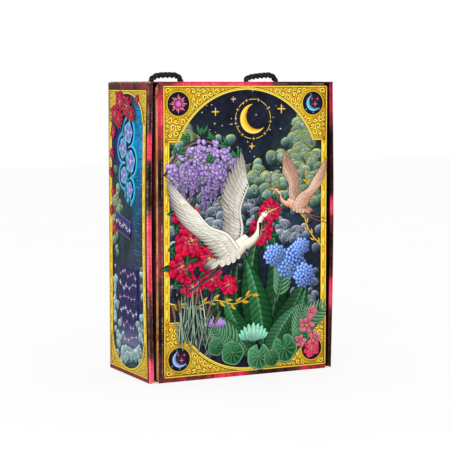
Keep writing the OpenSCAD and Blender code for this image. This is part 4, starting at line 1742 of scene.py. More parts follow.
class CARTON_OT_lid_sky(bpy.types.Operator):
    """The lid's night sky: its ground, cloud banks, moon and stars"""

    bl_idname = "carton.lid_sky"
    bl_label = "Lid Sky"

    def execute(self, context):
        sheet = lid_sheet()
        draw = np.random.default_rng(5)
        night, slate, teal, moss = colours("night", "slate", "teal", "moss")
        wash(sheet, (-140, 10), (149, 471), 3.6, tone(night, -0.1), [
            ((-90, 250), (70, 60), tone(slate, -0.3), 0.9), ((60, 250), (80, 50), tone(slate, -0.2), 0.8),
            ((-80, 330), (60, 60), tone(teal, -0.25), 0.9), ((110, 330), (60, 80), tone(teal, -0.25), 0.9),
            ((120, 120), (40, 60), tone(slate, -0.4), 0.7), ((-90, 100), (60, 70), tone(night, 0.12), 0.8),
        ])
        count = 46
        start = np.stack([draw.uniform(-128, 10, count), draw.uniform(120, 175, count)], 1)
        fall = walk(start, -np.pi / 2, draw.uniform(40, 125, count), 0.0, 3)
        bands(sheet, fall, draw.uniform(0.5, 2.6, (count, 1)), (-1, 1),
              varied(np.array([tone(slate, -0.25), tone(night, -0.3)]), count, draw, 0.35)[:, None])
        stars(sheet, [(-52, 432), (-20, 452), (68, 436), (96, 404), (-84, 392), (14, 376), (88, 370)],
              [7.5, 5.0, 8.5, 5.5, 5.0, 6.0, 4.5], colour("gold"))
        specks = np.stack([draw.uniform(-90, 110, 70), draw.uniform(335, 466, 70)], 1)
        stars(sheet, specks, draw.uniform(1.0, 2.2, 70), colour("ivory"))
        moon, halo_radius = (16, 420), 32
        crescent(sheet, moon, 24, 0.5, colour("gold"))
        halo = [arc_path(moon, halo_radius, low, low + 24, 9) for low in range(0, 360, 40)]
        bands(sheet, np.array(halo), 0.55, RIDGE, gilt(colour("gold")))
        drops = arc_path(moon, halo_radius, 32, 352, 9)
        stars(sheet, drops, 3.2, colour("gold"))
        banks = (
            (slate, tone(slate, 0.75), [(-100, 232, 26, 26, 22, 11), (-20, 262, 36, 16, 30, 11),
                                        (40, 250, 26, 26, 26, 12), (100, 236, 30, 22, 26, 11),
                                        (60, 292, 40, 12, 26, 10), (-60, 285, 40, 12, 20, 10)]),
            (tone(slate, -0.25), tone(slate, 0.35), [(118, 125, 16, 34, 26, 9), (-92, 60, 24, 14, 16, 9),
                                                     (96, 62, 16, 14, 12, 9), (-112, 175, 14, 22, 10, 10),
                                                     (-10, 210, 40, 14, 18, 10)]),
            (teal, moss, [(-104, 372, 16, 26, 20, 13), (-72, 345, 26, 24, 24, 12),
                          (-30, 322, 24, 14, 20, 11), (114, 388, 10, 26, 24, 13),
                          (98, 350, 18, 20, 34, 12), (48, 322, 28, 12, 30, 11),
                          (122, 305, 12, 24, 20, 11), (-120, 310, 10, 20, 10, 11),
                          (84, 306, 22, 12, 18, 11)]),
        )
        for body, rim, anchors in banks:
            centre, radius = scattered(anchors, draw)
            centre[:, 0] = np.clip(centre[:, 0], -142 + radius, 151 - radius)
            billows(sheet, centre, radius, body, rim, draw)
        print_piece("lid_sky_print", sheet, "lid")
        return {"FINISHED"}


class CARTON_OT_lid_frame(bpy.types.Operator):
    """The lid's gilt frame: lines, packed scrolls, roundels and palmettes"""

    bl_idname = "carton.lid_frame"
    bl_label = "Lid Frame"

    def execute(self, context):
        icons = (("sun", colour("hot_pink")), ("moon", colour("cyan")), ("moon", colour("iris")),
                 ("rose", colour("hot_pink")))
        panel_frame(lid_sheet(), -143.8, 153.0, 473.5, icons)
        print_piece("lid_frame_print", lid_sheet(), "lid")
        return {"FINISHED"}


def roundel_icon(part, icon, ink):
    """A sun, a moon with stars or a rose at a roundel's middle."""
    pale = colour("lilac") if icon == "sun" else tone(colour("cyan"), 0.45)
    if icon == "sun":
        ray = round_of(16)
        start = 6.4 * towards(ray)
        length = np.where(np.arange(16) % 2, 6.2, 9.4)
        blades(part, start, ray, length, 3.0, np.where(np.arange(16) % 2, 0.9, 0.0), REED,
               swatch(6, ridged(ink, -0.1), ridged(ink, 0.1)), belly=0.3)
        rounds(part, [(0, 0)], 5.9, (0, 0.5, 0.8, 1),
               np.array([tone(pale, 0.4), ink, pale, tone(ink, -0.5)]), 22)
    elif icon == "moon":
        crescent(part, (1, 0), 13.0, 0.6, tone(ink, 0.25))
        stars(part, [(4.5, -1.5), (-1.5, 7.5), (9, 7)], [5.2, 2.6, 3.2], colour("hot_pink"))
        stars(part, [(-12, -10), (12, -10), (1, -15), (-4, 15)], 1.9, pale)
    else:
        bloom(part, (0, 0), 14.5, ink, np.random.default_rng(3))


GOLDEN_ANGLE = 2.39996
BROAD_LEAF = {"belly": 0.42, "blunt": 0.8, "sweep": 0.55}


class CARTON_OT_lid_garden(bpy.types.Operator):
    """The lid's garden: broad leaves, ferns, water lilies, rushes and flowers"""

    bl_idname = "carton.lid_garden"
    bl_label = "Lid Garden"

    def execute(self, context):
        sheet = lid_sheet()
        draw = np.random.default_rng(12)
        leaf, crimson, gold = colours("leaf", "crimson", "gold")
        dark = tone(leaf, -0.3)
        for (x, y), facing, length, width, bend, ink in (
            ((-8, 60), 1.75, 128, 34, -0.3, tone(dark, -0.3)),
            ((-30, 50), 2.0, 104, 30, -0.5, tone(dark, -0.25)),
            ((84, 50), 1.45, 118, 34, -0.4, tone(dark, -0.25)),
            ((16, 60), 1.5, 150, 36, 0.4, tone(dark, -0.3)),
            ((38, 60), 1.15, 196, 44, 0.75, dark), ((48, 66), 0.55, 128, 42, 0.9, dark),
            ((30, 58), 1.95, 176, 40, -0.7, dark), ((70, 40), 0.9, 110, 36, 0.5, leaf),
            ((20, 50), 2.5, 112, 34, -0.8, leaf), ((36, 46), 1.62, 150, 42, 0.35, leaf),
            ((60, 34), 0.35, 88, 34, 0.7, leaf), ((2, 40), 2.9, 84, 30, -0.9, dark),
            ((44, 30), 1.2, 104, 36, -0.5, tone(leaf, 0.1)), ((10, 34), 2.1, 92, 34, 0.4, tone(leaf, 0.14)),
        ):
            inks = leaf_inks(ink, 31, 0.3)
            blades(sheet, [(x, y)], facing, length, width, bend, LEAF, varied(inks, 1, draw, 0.05),
                   **BROAD_LEAF)
        for x, y, facing, length, bend in ((-6, 44, 2.3, 92, 0.5), (88, 46, 1.0, 96, -0.5),
                                           (60, 120, 1.2, 84, 0.6), (-30, 34, 1.9, 70, 0.5),
                                           (104, 40, 1.7, 74, -0.4)):
            fern(sheet, [(x, y)], facing, length, bend, tone(leaf, 0.12))
        for x, y, radius, notch in ((-22, 40, 21, 1.2), (74, 40, 24, 1.9), (104, 58, 16, 2.4),
                                    (26, 30, 22, 1.5), (-52, 52, 15, 0.8), (50, 26, 15, 2.2)):
            lily_pad(sheet, (x, y), radius, tone(leaf, draw.uniform(-0.2, 0.1)), notch)
        for x, y, size, light in ((-112, 186, 25, -0.1), (-96, 226, 29, -0.05), (-106, 268, 22, 0.0),
                                  (-64, 196, 25, -0.2), (-60, 164, 19, -0.1), (30, 236, 23, -0.12),
                                  (-94, 152, 20, -0.25), (46, 270, 20, 0.02), (-30, 152, 17, 0.0)):
            fan = draw.uniform(0, 2 * np.pi) + round_of(6)
            blades(sheet, np.array([(x, y)]) + 0.6 * size * towards(fan), fan, size * 0.95,
                   size * 0.42, 0.4, LEAF, leaf_inks(tone(leaf, -0.25), 7), belly=0.4)
            bloom(sheet, (x, y), size, tone(crimson, light), draw)
        sprig(sheet, [(-136, 128), (-96, 118), (-54, 128), (-18, 120), (14, 134)], gold, 15, 15, 1.1)
        sprig(sheet, [(146, 206), (122, 232), (112, 262), (124, 296), (112, 326)], gold, 13, 11, 0.8)
        for x, y, size in ((86, 182, 27), (56, 196, 19), (112, 160, 20), (106, 208, 15)):
            self.hydrangea(sheet, (x, y), size, draw)
        self.lotus(sheet, (16, 58), 30, colour("mint"), gold)
        self.lotus(sheet, (-52, 84), 19, tone(colour("lilac"), 0.2), gold)
        for x, y, size in ((116, 76, 15), (132, 54, 12), (104, 50, 11), (126, 98, 10)):
            bloom(sheet, (x, y), size, between(colour("hot_pink"), rgb(255, 190, 205), 0.45), draw,
                  SMALL_FLOWER)
        self.rushes(sheet, draw)
        print_piece("lid_garden_print", sheet, "lid")
        return {"FINISHED"}

    def hydrangea(self, sheet, centre, radius, draw):
        """A head of four-petalled florets on a spiral: distance = radius * sqrt(i / n)."""
        count = int(radius * 2.1)
        index = np.arange(count)[::-1]
        angle, reach = index * GOLDEN_ANGLE, radius * np.sqrt((index + 0.5) / count)
        spots = np.array(centre) + reach[:, None] * towards(angle)
        spokes = 16
        turn = round_of(spokes)
        petals = 3.9 * (0.6 + 0.4 * np.abs(np.cos(2 * turn + draw.uniform(0, 3, count)[:, None])))
        iris = colour("iris")
        up_left = spots[:, 1] - centre[1] - spots[:, 0] + centre[0]
        lit = between(-0.3, 0.25, np.clip(up_left / radius / 2 + 0.5, 0, 1))
        inks = np.array([tones(iris, 0.7, 0.3, 0, -0.6)]) * (1 + lit)[:, None, None]
        rounds(sheet, spots, petals, (0, 0.3, 0.85, 1), np.clip(inks, 0, 1)[:, None], spokes)

    def lotus(self, sheet, centre, size, ink, gold):
        """A water lily seen from the side: three rows of pointed petals, the nearest last."""
        for row, (spread, length, count) in enumerate(((1.25, 1.0, 9), (0.95, 0.92, 7), (0.6, 0.78, 5))):
            fan = np.linspace(-spread, spread, count)
            order = np.argsort(-np.abs(fan))
            fan = fan[order]
            start = np.array(centre) + np.stack([size * 0.16 * np.sin(fan), -size * 0.05 * row + 0 * fan], 1)
            blades(sheet, start, np.pi / 2 - fan, size * length * (1 - 0.12 * np.abs(fan)), size * 0.36,
                   fan * 0.25, PETAL, petal_inks(tone(ink, -0.1 + 0.12 * row), 8), belly=0.6)
            if row == 1:
                fan = np.linspace(-0.5, 0.5, 9)
                blades(sheet, np.repeat([centre], 9, 0), np.pi / 2 - fan, size * 0.74, 1.6, 0, REED,
                       swatch(4, gilt(gold, -0.3), gilt(gold, 0.3)), belly=0.8)

    def rushes(self, sheet, draw):
        """Bent reeds with brown heads, and grass at their foot."""
        brown = rgb(72, 46, 34)
        grass = tone(colour("leaf"), -0.45)
        count = 26
        foot = np.stack([draw.uniform(-120, -66, count), draw.uniform(50, 66, count)], 1)
        facing, length = draw.uniform(1.2, 1.95, count), draw.uniform(46, 92, count)
        bend = draw.uniform(-0.5, 0.5, count)
        inks = varied(swatch(10, ridged(grass, -0.2), ridged(tone(grass, 0.3))), count, draw, 0.3)
        blades(sheet, foot, facing, length, 4.2, bend, REED, inks, belly=0.3)
        for x, y, facing, length, bend in ((-112, 50, 1.62, 94, 0.12), (-98, 46, 1.5, 116, -0.1),
                                           (-84, 46, 1.4, 86, -0.22), (-118, 56, 1.7, 70, 0.14),
                                           (-72, 50, 1.3, 66, -0.3)):
            stalk = walk([(x, y)], facing, length, bend, 16)
            bands(sheet, stalk, 1.1, RIDGE, ridged(tone(grass, 0.25)))
            head = walk(stalk[:, 10], facing + bend * 0.7, 22, 0.0, 9)
            bands(sheet, head, 4.0 * np.sin(np.pi * np.linspace(0.06, 0.94, 9)) ** 0.35, PETAL,
                  tones(brown, -0.6, -0.2, 0.35, 0.1, 0, -0.3, -0.7))


class CARTON_OT_lid_wisteria(bpy.types.Operator):
    """The wisteria over the lid's upper left corner, and its bough"""

    bl_idname = "carton.lid_wisteria"
    bl_label = "Lid Wisteria"

    def execute(self, context):
        sheet = lid_sheet()
        draw = np.random.default_rng(21)
        lilac, leaf = colours("lilac", "leaf")
        bark = rgb(64, 44, 40)
        for points, half in (([(-141, 330), (-112, 372), (-74, 386), (-34, 372), (-8, 350)], 3.4),
                             ([(-112, 372), (-92, 352), (-66, 342), (-44, 344)], 2.0)):
            path = smooth_path(points, 3.0)
            bands(sheet, path[None], half * np.linspace(1.3, 0.4, len(path)), PETAL,
                  tones(bark, -0.6, -0.2, 0.4, 0, 0.15, -0.3, -0.7))
        racemes = ((-128, 348, 66, 22), (-108, 374, 88, 28), (-84, 386, 80, 27), (-60, 384, 96, 30),
                   (-40, 376, 74, 26), (-20, 362, 58, 22), (-72, 346, 72, 24), (-94, 352, 60, 22),
                   (-52, 346, 54, 20), (-6, 350, 42, 18))
        for x, y, length, width in racemes:
            raceme(sheet, (x, y), length, width, tone(lilac, draw.uniform(-0.08, 0.12)), draw,
                   int(length * 0.95), 4.3)
        spots = np.array([(-120, 366), (-100, 384), (-78, 394), (-52, 388), (-30, 374), (-12, 358),
                          (-66, 350)])
        for x, y in spots:
            fan = draw.uniform(0.2, 2.9, 4)
            blades(sheet, np.repeat([(x, y)], 4, 0), fan, draw.uniform(14, 22, 4), 6.5,
                   draw.uniform(-0.6, 0.6, 4), LEAF, leaf_inks(tone(leaf, 0.05), 7, 0.1), belly=0.4)
        print_piece("lid_wisteria_print", sheet, "lid")
        return {"FINISHED"}


class CARTON_OT_lid_cranes(bpy.types.Operator):
    """The two cranes in flight across the lid"""

    bl_idname = "carton.lid_cranes"
    bl_label = "Lid Cranes"

    def execute(self, context):
        sheet = lid_sheet()
        draw = np.random.default_rng(31)
        crane(Placed(sheet, 0.32, (1.2, 1.2), (-22, 200)), colour("ivory"), CRANE_DARK, draw)
        crane(Placed(sheet, -0.16, (-0.7, 0.7), (96, 272)), colour("peach"), rgb(112, 58, 44), draw)
        print_piece("lid_cranes_print", sheet, "lid")
        return {"FINISHED"}


# ---------------------------------------------------------------- the other faces' pictures


def glories(sheet, centre, radius, outer, inner, draw):
    """Morning glories: reach = radius * (1 + 0.07 cos 5a), with five pale ribs and a bright throat."""
    count, spokes = len(centre), 30
    angle = round_of(spokes)
    phase = draw.uniform(0, 2, count)[:, None]
    reach = np.asarray(radius, float)[:, None] * (1 + 0.07 * np.cos(5 * (angle + phase)))
    rib = (0.5 + 0.5 * np.cos(5 * (angle + phase)))[..., None] ** 3
    inks = np.stack([
        between(tone(inner, 0.9), tone(inner, 0.9), rib),
        between(tone(inner, 0.1), tone(inner, 0.7), rib),
        between(tone(inner, -0.25), tone(inner, 0.3), rib),
        between(outer, tone(outer, 0.35), rib),
        between(tone(outer, 0.35), tone(outer, 0.6), rib),
        between(tone(outer, -0.7), tone(outer, -0.7), rib),
    ], 2)
    rounds(sheet, centre, reach, (0, 0.14, 0.42, 0.78, 0.93, 1), inks, spokes)


def streaks(sheet, low, high, count, inks, draw):
    """Short level strokes of ink between two corners."""
    start = draw.uniform(low, high, (count, 2))
    length = draw.uniform(8, 34, count)
    length = np.minimum(length, high[0] - start[:, 0] + 2)
    blades(sheet, start, draw.normal(0, 0.04, count), length, draw.uniform(0.8, 2.4, count), 0.0, (-1, 1),
           varied(inks, count, draw, 0.3), blunt=0.7)


def night_panel(sheet, low, high, ink, draw):
    """A dark panel of stars joined into figures by fine lines."""
    u, v = np.meshgrid(np.linspace(low[0], high[0], 9), np.linspace(low[1], high[1], 22), indexing="ij")
    share = ((v - low[1]) / (high[1] - low[1]))[..., None]
    inks = between(tone(ink, 0.36), tone(ink, -0.12), np.clip(share * 3, 0, 1))
    sheet.lay(np.stack([u, v], -1)[None], inks[None])
    rows = np.linspace(low[1] + 14, high[1] - 9, 6)
    wide = high[0] - low[0] - 16
    for row, height in enumerate(rows):
        count = 5 + row % 3
        across = low[0] + 8 + (np.arange(count) + draw.uniform(-0.25, 0.25, count) + 0.5) / count * wide
        spots = np.stack([across, height + draw.uniform(-6, 6, count)], 1)
        pale = rgb(206, 168, 214) if row % 2 else rgb(236, 230, 240)
        for first, second in zip(spots[:-1], spots[1:]):
            line(sheet, first, second, 0.4, (-1, 1), tone(pale, -0.2))
        stars(sheet, spots, draw.uniform(3.0, 5.6, count), pale)
    specks = draw.uniform(np.array(low) + 3, np.array(high) - 3, (60, 2))
    rounds(sheet, specks, draw.uniform(0.25, 0.7, 60), (0, 1), tone(ink, 0.6), spokes=5)


def star_banner(sheet, ink):
    """A slanted dark banner with a garland of stars along it."""
    part = Placed(sheet, turn=-0.2, shift=(-20, 246))
    u, v = np.meshgrid(np.linspace(-34, 36, 9), np.linspace(-14, 14, 6), indexing="ij")
    shade = between(tone(ink, 0.1), tone(ink, -0.25), ((14 - v) / 28)[..., None])
    part.lay(np.stack([u, v], -1)[None], shade[None])
    for v in (-14, 14):
        line(part, (-34, v), (36, v), 0.7, (-1, 0, 1), tones(ink, -0.3, 0.5, -0.3))
    path = np.stack([np.linspace(-28, 30, 41), 3.5 * np.sin(np.linspace(0, 4 * np.pi, 41))], 1)
    pale = rgb(232, 230, 240)
    bands(part, path, 0.45, (-1, 1), tone(ink, 0.4))
    stars(part, path[::10], np.full(5, 5.5), pale)
    rounds(part, path[5::10], 1.9, (0, 0.7, 1), np.array([pale, pale, ink]), spokes=10)


def tall_picture(sheet, draw, water, rim_light, outer, inner, vine_points, flowers):
    """A side wall's picture: water, a banner, clouds, a night panel and a vine in a glowing outline."""
    slate, teal, moss = colours("slate", "teal", "moss")
    navy = tone(colour("night"), -0.05) * np.array([0.7, 0.8, 1.9])
    wash(sheet, (-69, 12), (69, 462), 3.4, tone(slate, -0.45), [
        ((46, 380), (34, 90), water, 1.1), ((46, 290), (30, 60), tone(water, -0.4), 0.9),
        ((40, 200), (36, 60), tone(slate, -0.2), 0.8), ((-46, 280), (26, 60), tone(teal, -0.2), 0.9),
        ((-44, 390), (30, 60), navy * 1.3, 0.9), ((0, 40), (70, 34), tone(teal, 0.05), 0.8),
    ])
    deep = between(water, slate, 0.7)
    for low, high, count, ink in ((310, 445, 110, water), (180, 312, 90, deep)):
        streaks(sheet, (20, low), (66, high), count,
                swatch(5, tones(ink, 0.05, -0.3), tones(ink, -0.1, -0.35)), draw)
    centre, radius = scattered([(-50, 300, 9, 22, 12, 9), (-44, 260, 12, 22, 14, 10),
                                (-52, 226, 8, 14, 7, 8)], draw)
    billows(sheet, centre, radius, teal, moss, draw)
    star_banner(sheet, rgb(40, 40, 104))
    night_panel(sheet, (-48, 50), (46, 178), rgb(38, 36, 94), draw)
    pale = rgb(104, 152, 156)
    low = [(-58, 150, 3, 26, 12, 7), (-54, 96, 5, 22, 13, 8), (-40, 54, 10, 12, 13, 8),
           (-8, 30, 18, 6, 14, 9), (30, 38, 16, 9, 14, 9), (53, 80, 6, 24, 15, 8), (59, 140, 3, 26, 13, 7)]
    centre, radius = scattered(low, draw)
    radius = radius * np.clip(1.25 - np.abs(centre[:, 0]) / 160, 0.7, 1.2)
    billows(sheet, centre, radius, pale, rgb(214, 236, 232), draw)
    path = smooth_path(vine_points, 3.0)
    spots = np.array([(x, y) for x, y, size in flowers], float)
    sizes = np.array([size for x, y, size in flowers], float)
    for grow, ink in ((11, between(rim_light, water, 0.5)), (9, rim_light), (7, tone(rim_light, 0.35)),
                      (5.4, navy)):
        bands(sheet, path[None], 6.5 + grow, (-1, 1), ink)
        rounds(sheet, spots, sizes + grow, (0, 1), ink, spokes=24)
    vine_ink = between(rim_light, teal, 0.35)
    bands(sheet, path[None], 5.0, PETAL, np.array([*tones(vine_ink, -0.6, -0.1, 0.45, 0), tone(inner, -0.1),
                                                   tone(vine_ink, -0.2), navy]))
    ahead = np.gradient(path, axis=0)
    facing = np.unwrap(np.arctan2(ahead[:, 1], ahead[:, 0]))
    for way in (-1, 1):
        at = np.linspace(4 + way, len(path) - 6, 13).astype(int)
        blades(sheet, path[at], facing[at] + way * 0.9, 17.0, 9.0, -way * 0.5, LEAF,
               leaf_inks(tone(vine_ink, -0.1), 7, 0.15), belly=0.4)
    glories(sheet, spots, sizes, outer, inner, draw)


def drape(sheet, spots, ink, draw):
    """Peonies and loose petals that hang over the frame's corner."""
    for x, y, size in spots:
        fan = draw.uniform(0, 2 * np.pi, 4)
        blades(sheet, np.repeat([(x, y)], 4, 0), fan, size * 1.5, size * 0.55, 0.4, LEAF,
               leaf_inks(tone(colour("leaf"), -0.2), 7), belly=0.5)
        bloom(sheet, (x, y), size, tone(ink, draw.uniform(-0.15, 0.05)), draw)


class CARTON_OT_left_picture(bpy.types.Operator):
    """The left wall's frame and picture"""

    bl_idname = "carton.left_picture"
    bl_label = "Left Wall Picture"

    def execute(self, context):
        cyan, lilac = colours("cyan", "lilac")
        inks = (cyan, rgb(30, 196, 232), tone(cyan, 0.12), tone(lilac, -0.05))
        vine = [(10, 424), (4, 400), (-16, 384), (-16, 366), (12, 354), (12, 340), (-12, 328), (10, 306),
                (2, 286)]
        flowers = [(4, 398, 17), (-18, 372, 16), (14, 352, 18), (-14, 328, 14), (10, 306, 13)]
        hanging = [(-30, 448, 18), (-52, 428, 15), (-60, 398, 11), (0, 440, 17), (-34, 420, 15),
                   (20, 428, 12), (-66, 362, 9), (-70, 330, 8), (-62, 300, 8), (-68, 268, 9), (-56, 240, 10),
                   (40, 452, 8)]
        side_picture("left", LEFT, 1, 41, inks, vine, flowers, hanging, tone(colour("crimson"), -0.42))
        return {"FINISHED"}


class CARTON_OT_right_picture(bpy.types.Operator):
    """The right wall's frame and picture"""

    bl_idname = "carton.right_picture"
    bl_label = "Right Wall Picture"

    def execute(self, context):
        leaf, cyan, pink, peach = colours("leaf", "cyan", "hot_pink", "peach")
        inks = (between(leaf, cyan, 0.35), rgb(120, 226, 150), pink, tone(peach, 0.2))
        vine = [(2, 424), (-8, 402), (12, 382), (20, 362), (14, 346), (-8, 338), (6, 310), (4, 286)]
        flowers = [(-10, 400, 15), (14, 380, 15), (18, 348, 12), (-10, 336, 15), (8, 306, 13)]
        hanging = [(-34, 446, 17), (-54, 424, 14), (-8, 450, 13), (-62, 394, 10), (14, 440, 9), (-66, 350, 8)]
        side_picture("right", RIGHT, -1, 43, inks, vine, flowers, hanging, tone(colour("lilac"), -0.1))
        return {"FINISHED"}


def side_picture(name, face, way, seed, inks, vine, flowers, hanging, hanging_ink):
    """A side wall's picture, frame and hanging flowers, drawn for the left and mirrored by way."""
    sheet_low, sheet_high = sorted((-82.5 * way, 79.5 * way))
    frame_low, frame_high = sorted((-79.0 * way, 76.5 * way))
    sheet = Print(face, (sheet_low, 3), (sheet_high, 477))
    drawn = Placed(sheet, scale=(way, 1))
    draw = np.random.default_rng(seed)
    tall_picture(drawn, draw, *inks, vine, flowers)
    print_piece(name + "_wall_picture", sheet)
    side_frame(sheet, frame_low, frame_high)
    print_piece(name + "_wall_frame_print", sheet)
    drape(drawn, hanging, hanging_ink, draw)
    print_piece(name + "_wall_flower_print", sheet)


def side_frame(sheet, left, right):
    """A side wall's gilt frame, with an arch as wide as its window at both ends."""
    gilded = GiltFrame(sheet, left, right, 6.8, 466.5,
                       band=12.0, arch=64.0, ledge=0.0, crown=71.5, squash=0.72)
    no_roundel = (200, 200)
    gilded.gild(0.0, no_roundel, 4.4)


class CARTON_OT_back_picture(bpy.types.Operator):
    """The back panel's frame and picture"""

    bl_idname = "carton.back_picture"
    bl_label = "Back Picture"

    def execute(self, context):
        sheet = Print(BACK, (-156, 3), (156, 477))
        draw = np.random.default_rng(51)
        night, slate, teal, gold = colours("night", "slate", "teal", "gold")
        wash(sheet, (-142, 10), (142, 470), 5.0, tone(night, -0.1), [
            ((0, 180), (150, 80), tone(slate, -0.2), 0.9), ((0, 60), (120, 60), tone(teal, -0.3), 0.8),
            ((70, 330), (60, 60), tone(slate, -0.2), 0.7),
        ])
        crescent(sheet, (-46, 356), 44, -0.4, gold)
        spots = np.stack([draw.uniform(-110, 110, 26), draw.uniform(280, 462, 26)], 1)
        stars(sheet, spots, draw.uniform(2.5, 8, 26), gold)
        for body, rim, anchors in (
            (slate, tone(slate, 0.75), [(-80, 230, 40, 20, 26, 14), (70, 250, 44, 20, 26, 14),
                                        (0, 200, 60, 18, 26, 13)]),
            (teal, colour("moss"), [(-110, 160, 20, 34, 20, 14), (112, 170, 20, 40, 22, 14),
                                    (0, 150, 60, 16, 20, 12)]),
        ):
            centre, radius = scattered(anchors, draw)
            centre[:, 0] = np.clip(centre[:, 0], -148 + radius, 148 - radius)
            billows(sheet, centre, radius, body, rim, draw)
        print_piece("back_sky_print", sheet)
        lilac = colour("lilac")
        panel_frame(sheet, -148.5, 148.5, 472.5, [(icon, lilac) for icon in ("moon", "sun", "rose", "moon")])
        print_piece("back_frame_print", sheet)
        leaf = colour("leaf")
        facing = np.linspace(0.3, 2.85, 9)
        order = np.argsort(-np.abs(facing - 1.57))
        blades(sheet, np.stack([20 * np.cos(facing), 34 + 0 * facing], 1)[order], facing[order], 128, 36, 0.4,
               LEAF, varied(leaf_inks(tone(leaf, -0.15), 27, 0.3), 9, draw, 0.14), **BROAD_LEAF)
        for x, y, size in ((-20, 80, 36), (34, 66, 30), (-66, 60, 24), (78, 52, 22), (10, 122, 24)):
            bloom(sheet, (x, y), size, tone(colour("crimson"), draw.uniform(-0.15, 0.05)), draw)
        for x, y, length in ((40, 440, 96), (64, 430, 118), (88, 410, 92), (106, 390, 70), (20, 446, 66)):
            raceme(sheet, (x, y), length, 28, lilac, draw, int(length * 0.8), 4.6)
        crane(Placed(sheet, 0.25, (0.95, 0.95), (-30, 220)), colour("ivory"), CRANE_DARK, draw)
        print_piece("back_garden_print", sheet)
        return {"FINISHED"}


class CARTON_OT_top_picture(bpy.types.Operator):
    """The top wall's border of scrolls between gold lines"""

    bl_idname = "carton.top_picture"
    bl_label = "Top Border"

    def execute(self, context):
        sheet = Print(TOP, (-158, -78), (158, 78))
        gold, shade = colours("gold", "gold_shade")
        reach, depth, wide = 150.0, 70.0, 8.0
        for way in (-1, 1):
            for start, end in (((-reach, way * depth), (reach, way * depth)),
                               ((way * reach, -depth), (way * reach, depth))):
                line(sheet, start, end, wide / 2 + 1.6, (-1, 1), shade)
        x = np.arange(-reach + 8, reach, 8.0)
        y = np.arange(-depth + 8, depth, 8.0)
        spots = np.concatenate([np.stack([x, x * 0 + way * depth], 1) for way in (-1, 1)]
                               + [np.stack([y * 0 + way * reach, y], 1) for way in (-1, 1)])
        scrolls(sheet, spots, np.full(len(spots), 3.3))
        for half_x, half_y in ((reach + 5, depth + 5), (reach - 5, depth - 5)):
            for way in (-1, 1):
                line(sheet, (-half_x, way * half_y), (half_x, way * half_y), 0.9, RIDGE, gilt(gold, 0.1))
                line(sheet, (way * half_x, -half_y), (way * half_x, half_y), 0.9, RIDGE, gilt(gold, 0.1))
        print_piece("top_border_print", sheet)
        return {"FINISHED"}


# ---------------------------------------------------------------- stage


def backdrop_material():
    """Pale floor: white as it is seen, with a soft shadow left on it."""
    made, wires = new_material("pale_floor")
    path = wires.add("LightPath")
    seen = wires.maths("MAXIMUM", path.outputs["Is Camera Ray"], path.outputs["Is Glossy Ray"])
    seen = wires.maths("MAXIMUM", seen, path.outputs["Is Transmission Ray"])
    pits = wires.noise(wires.object_place(), 3.0, 2.0)
    paint = wires.mix(wires.level(pits, 0.3, 0.7), (0.93, 0.93, 0.93, 1), (0.96, 0.96, 0.96, 1))
    floor = wires.add("BsdfDiffuse", {"Color": paint})
    glow = wires.add("Emission", {"Color": (1, 1, 1, 1), "Strength": 1.0})
    mixed = wires.add("MixShader", {0: wires.times(seen, 0.8), 1: floor.outputs[0], 2: glow.outputs[0]})
    surface = wires.add("OutputMaterial")
    wires.put(surface.inputs["Surface"], mixed.outputs[0])
    return made


LAMP_PLACE = (-1.6, -2.4, 1.9)
LAMP_SIZE = 1.6
SENSOR_WIDTH = 36.0


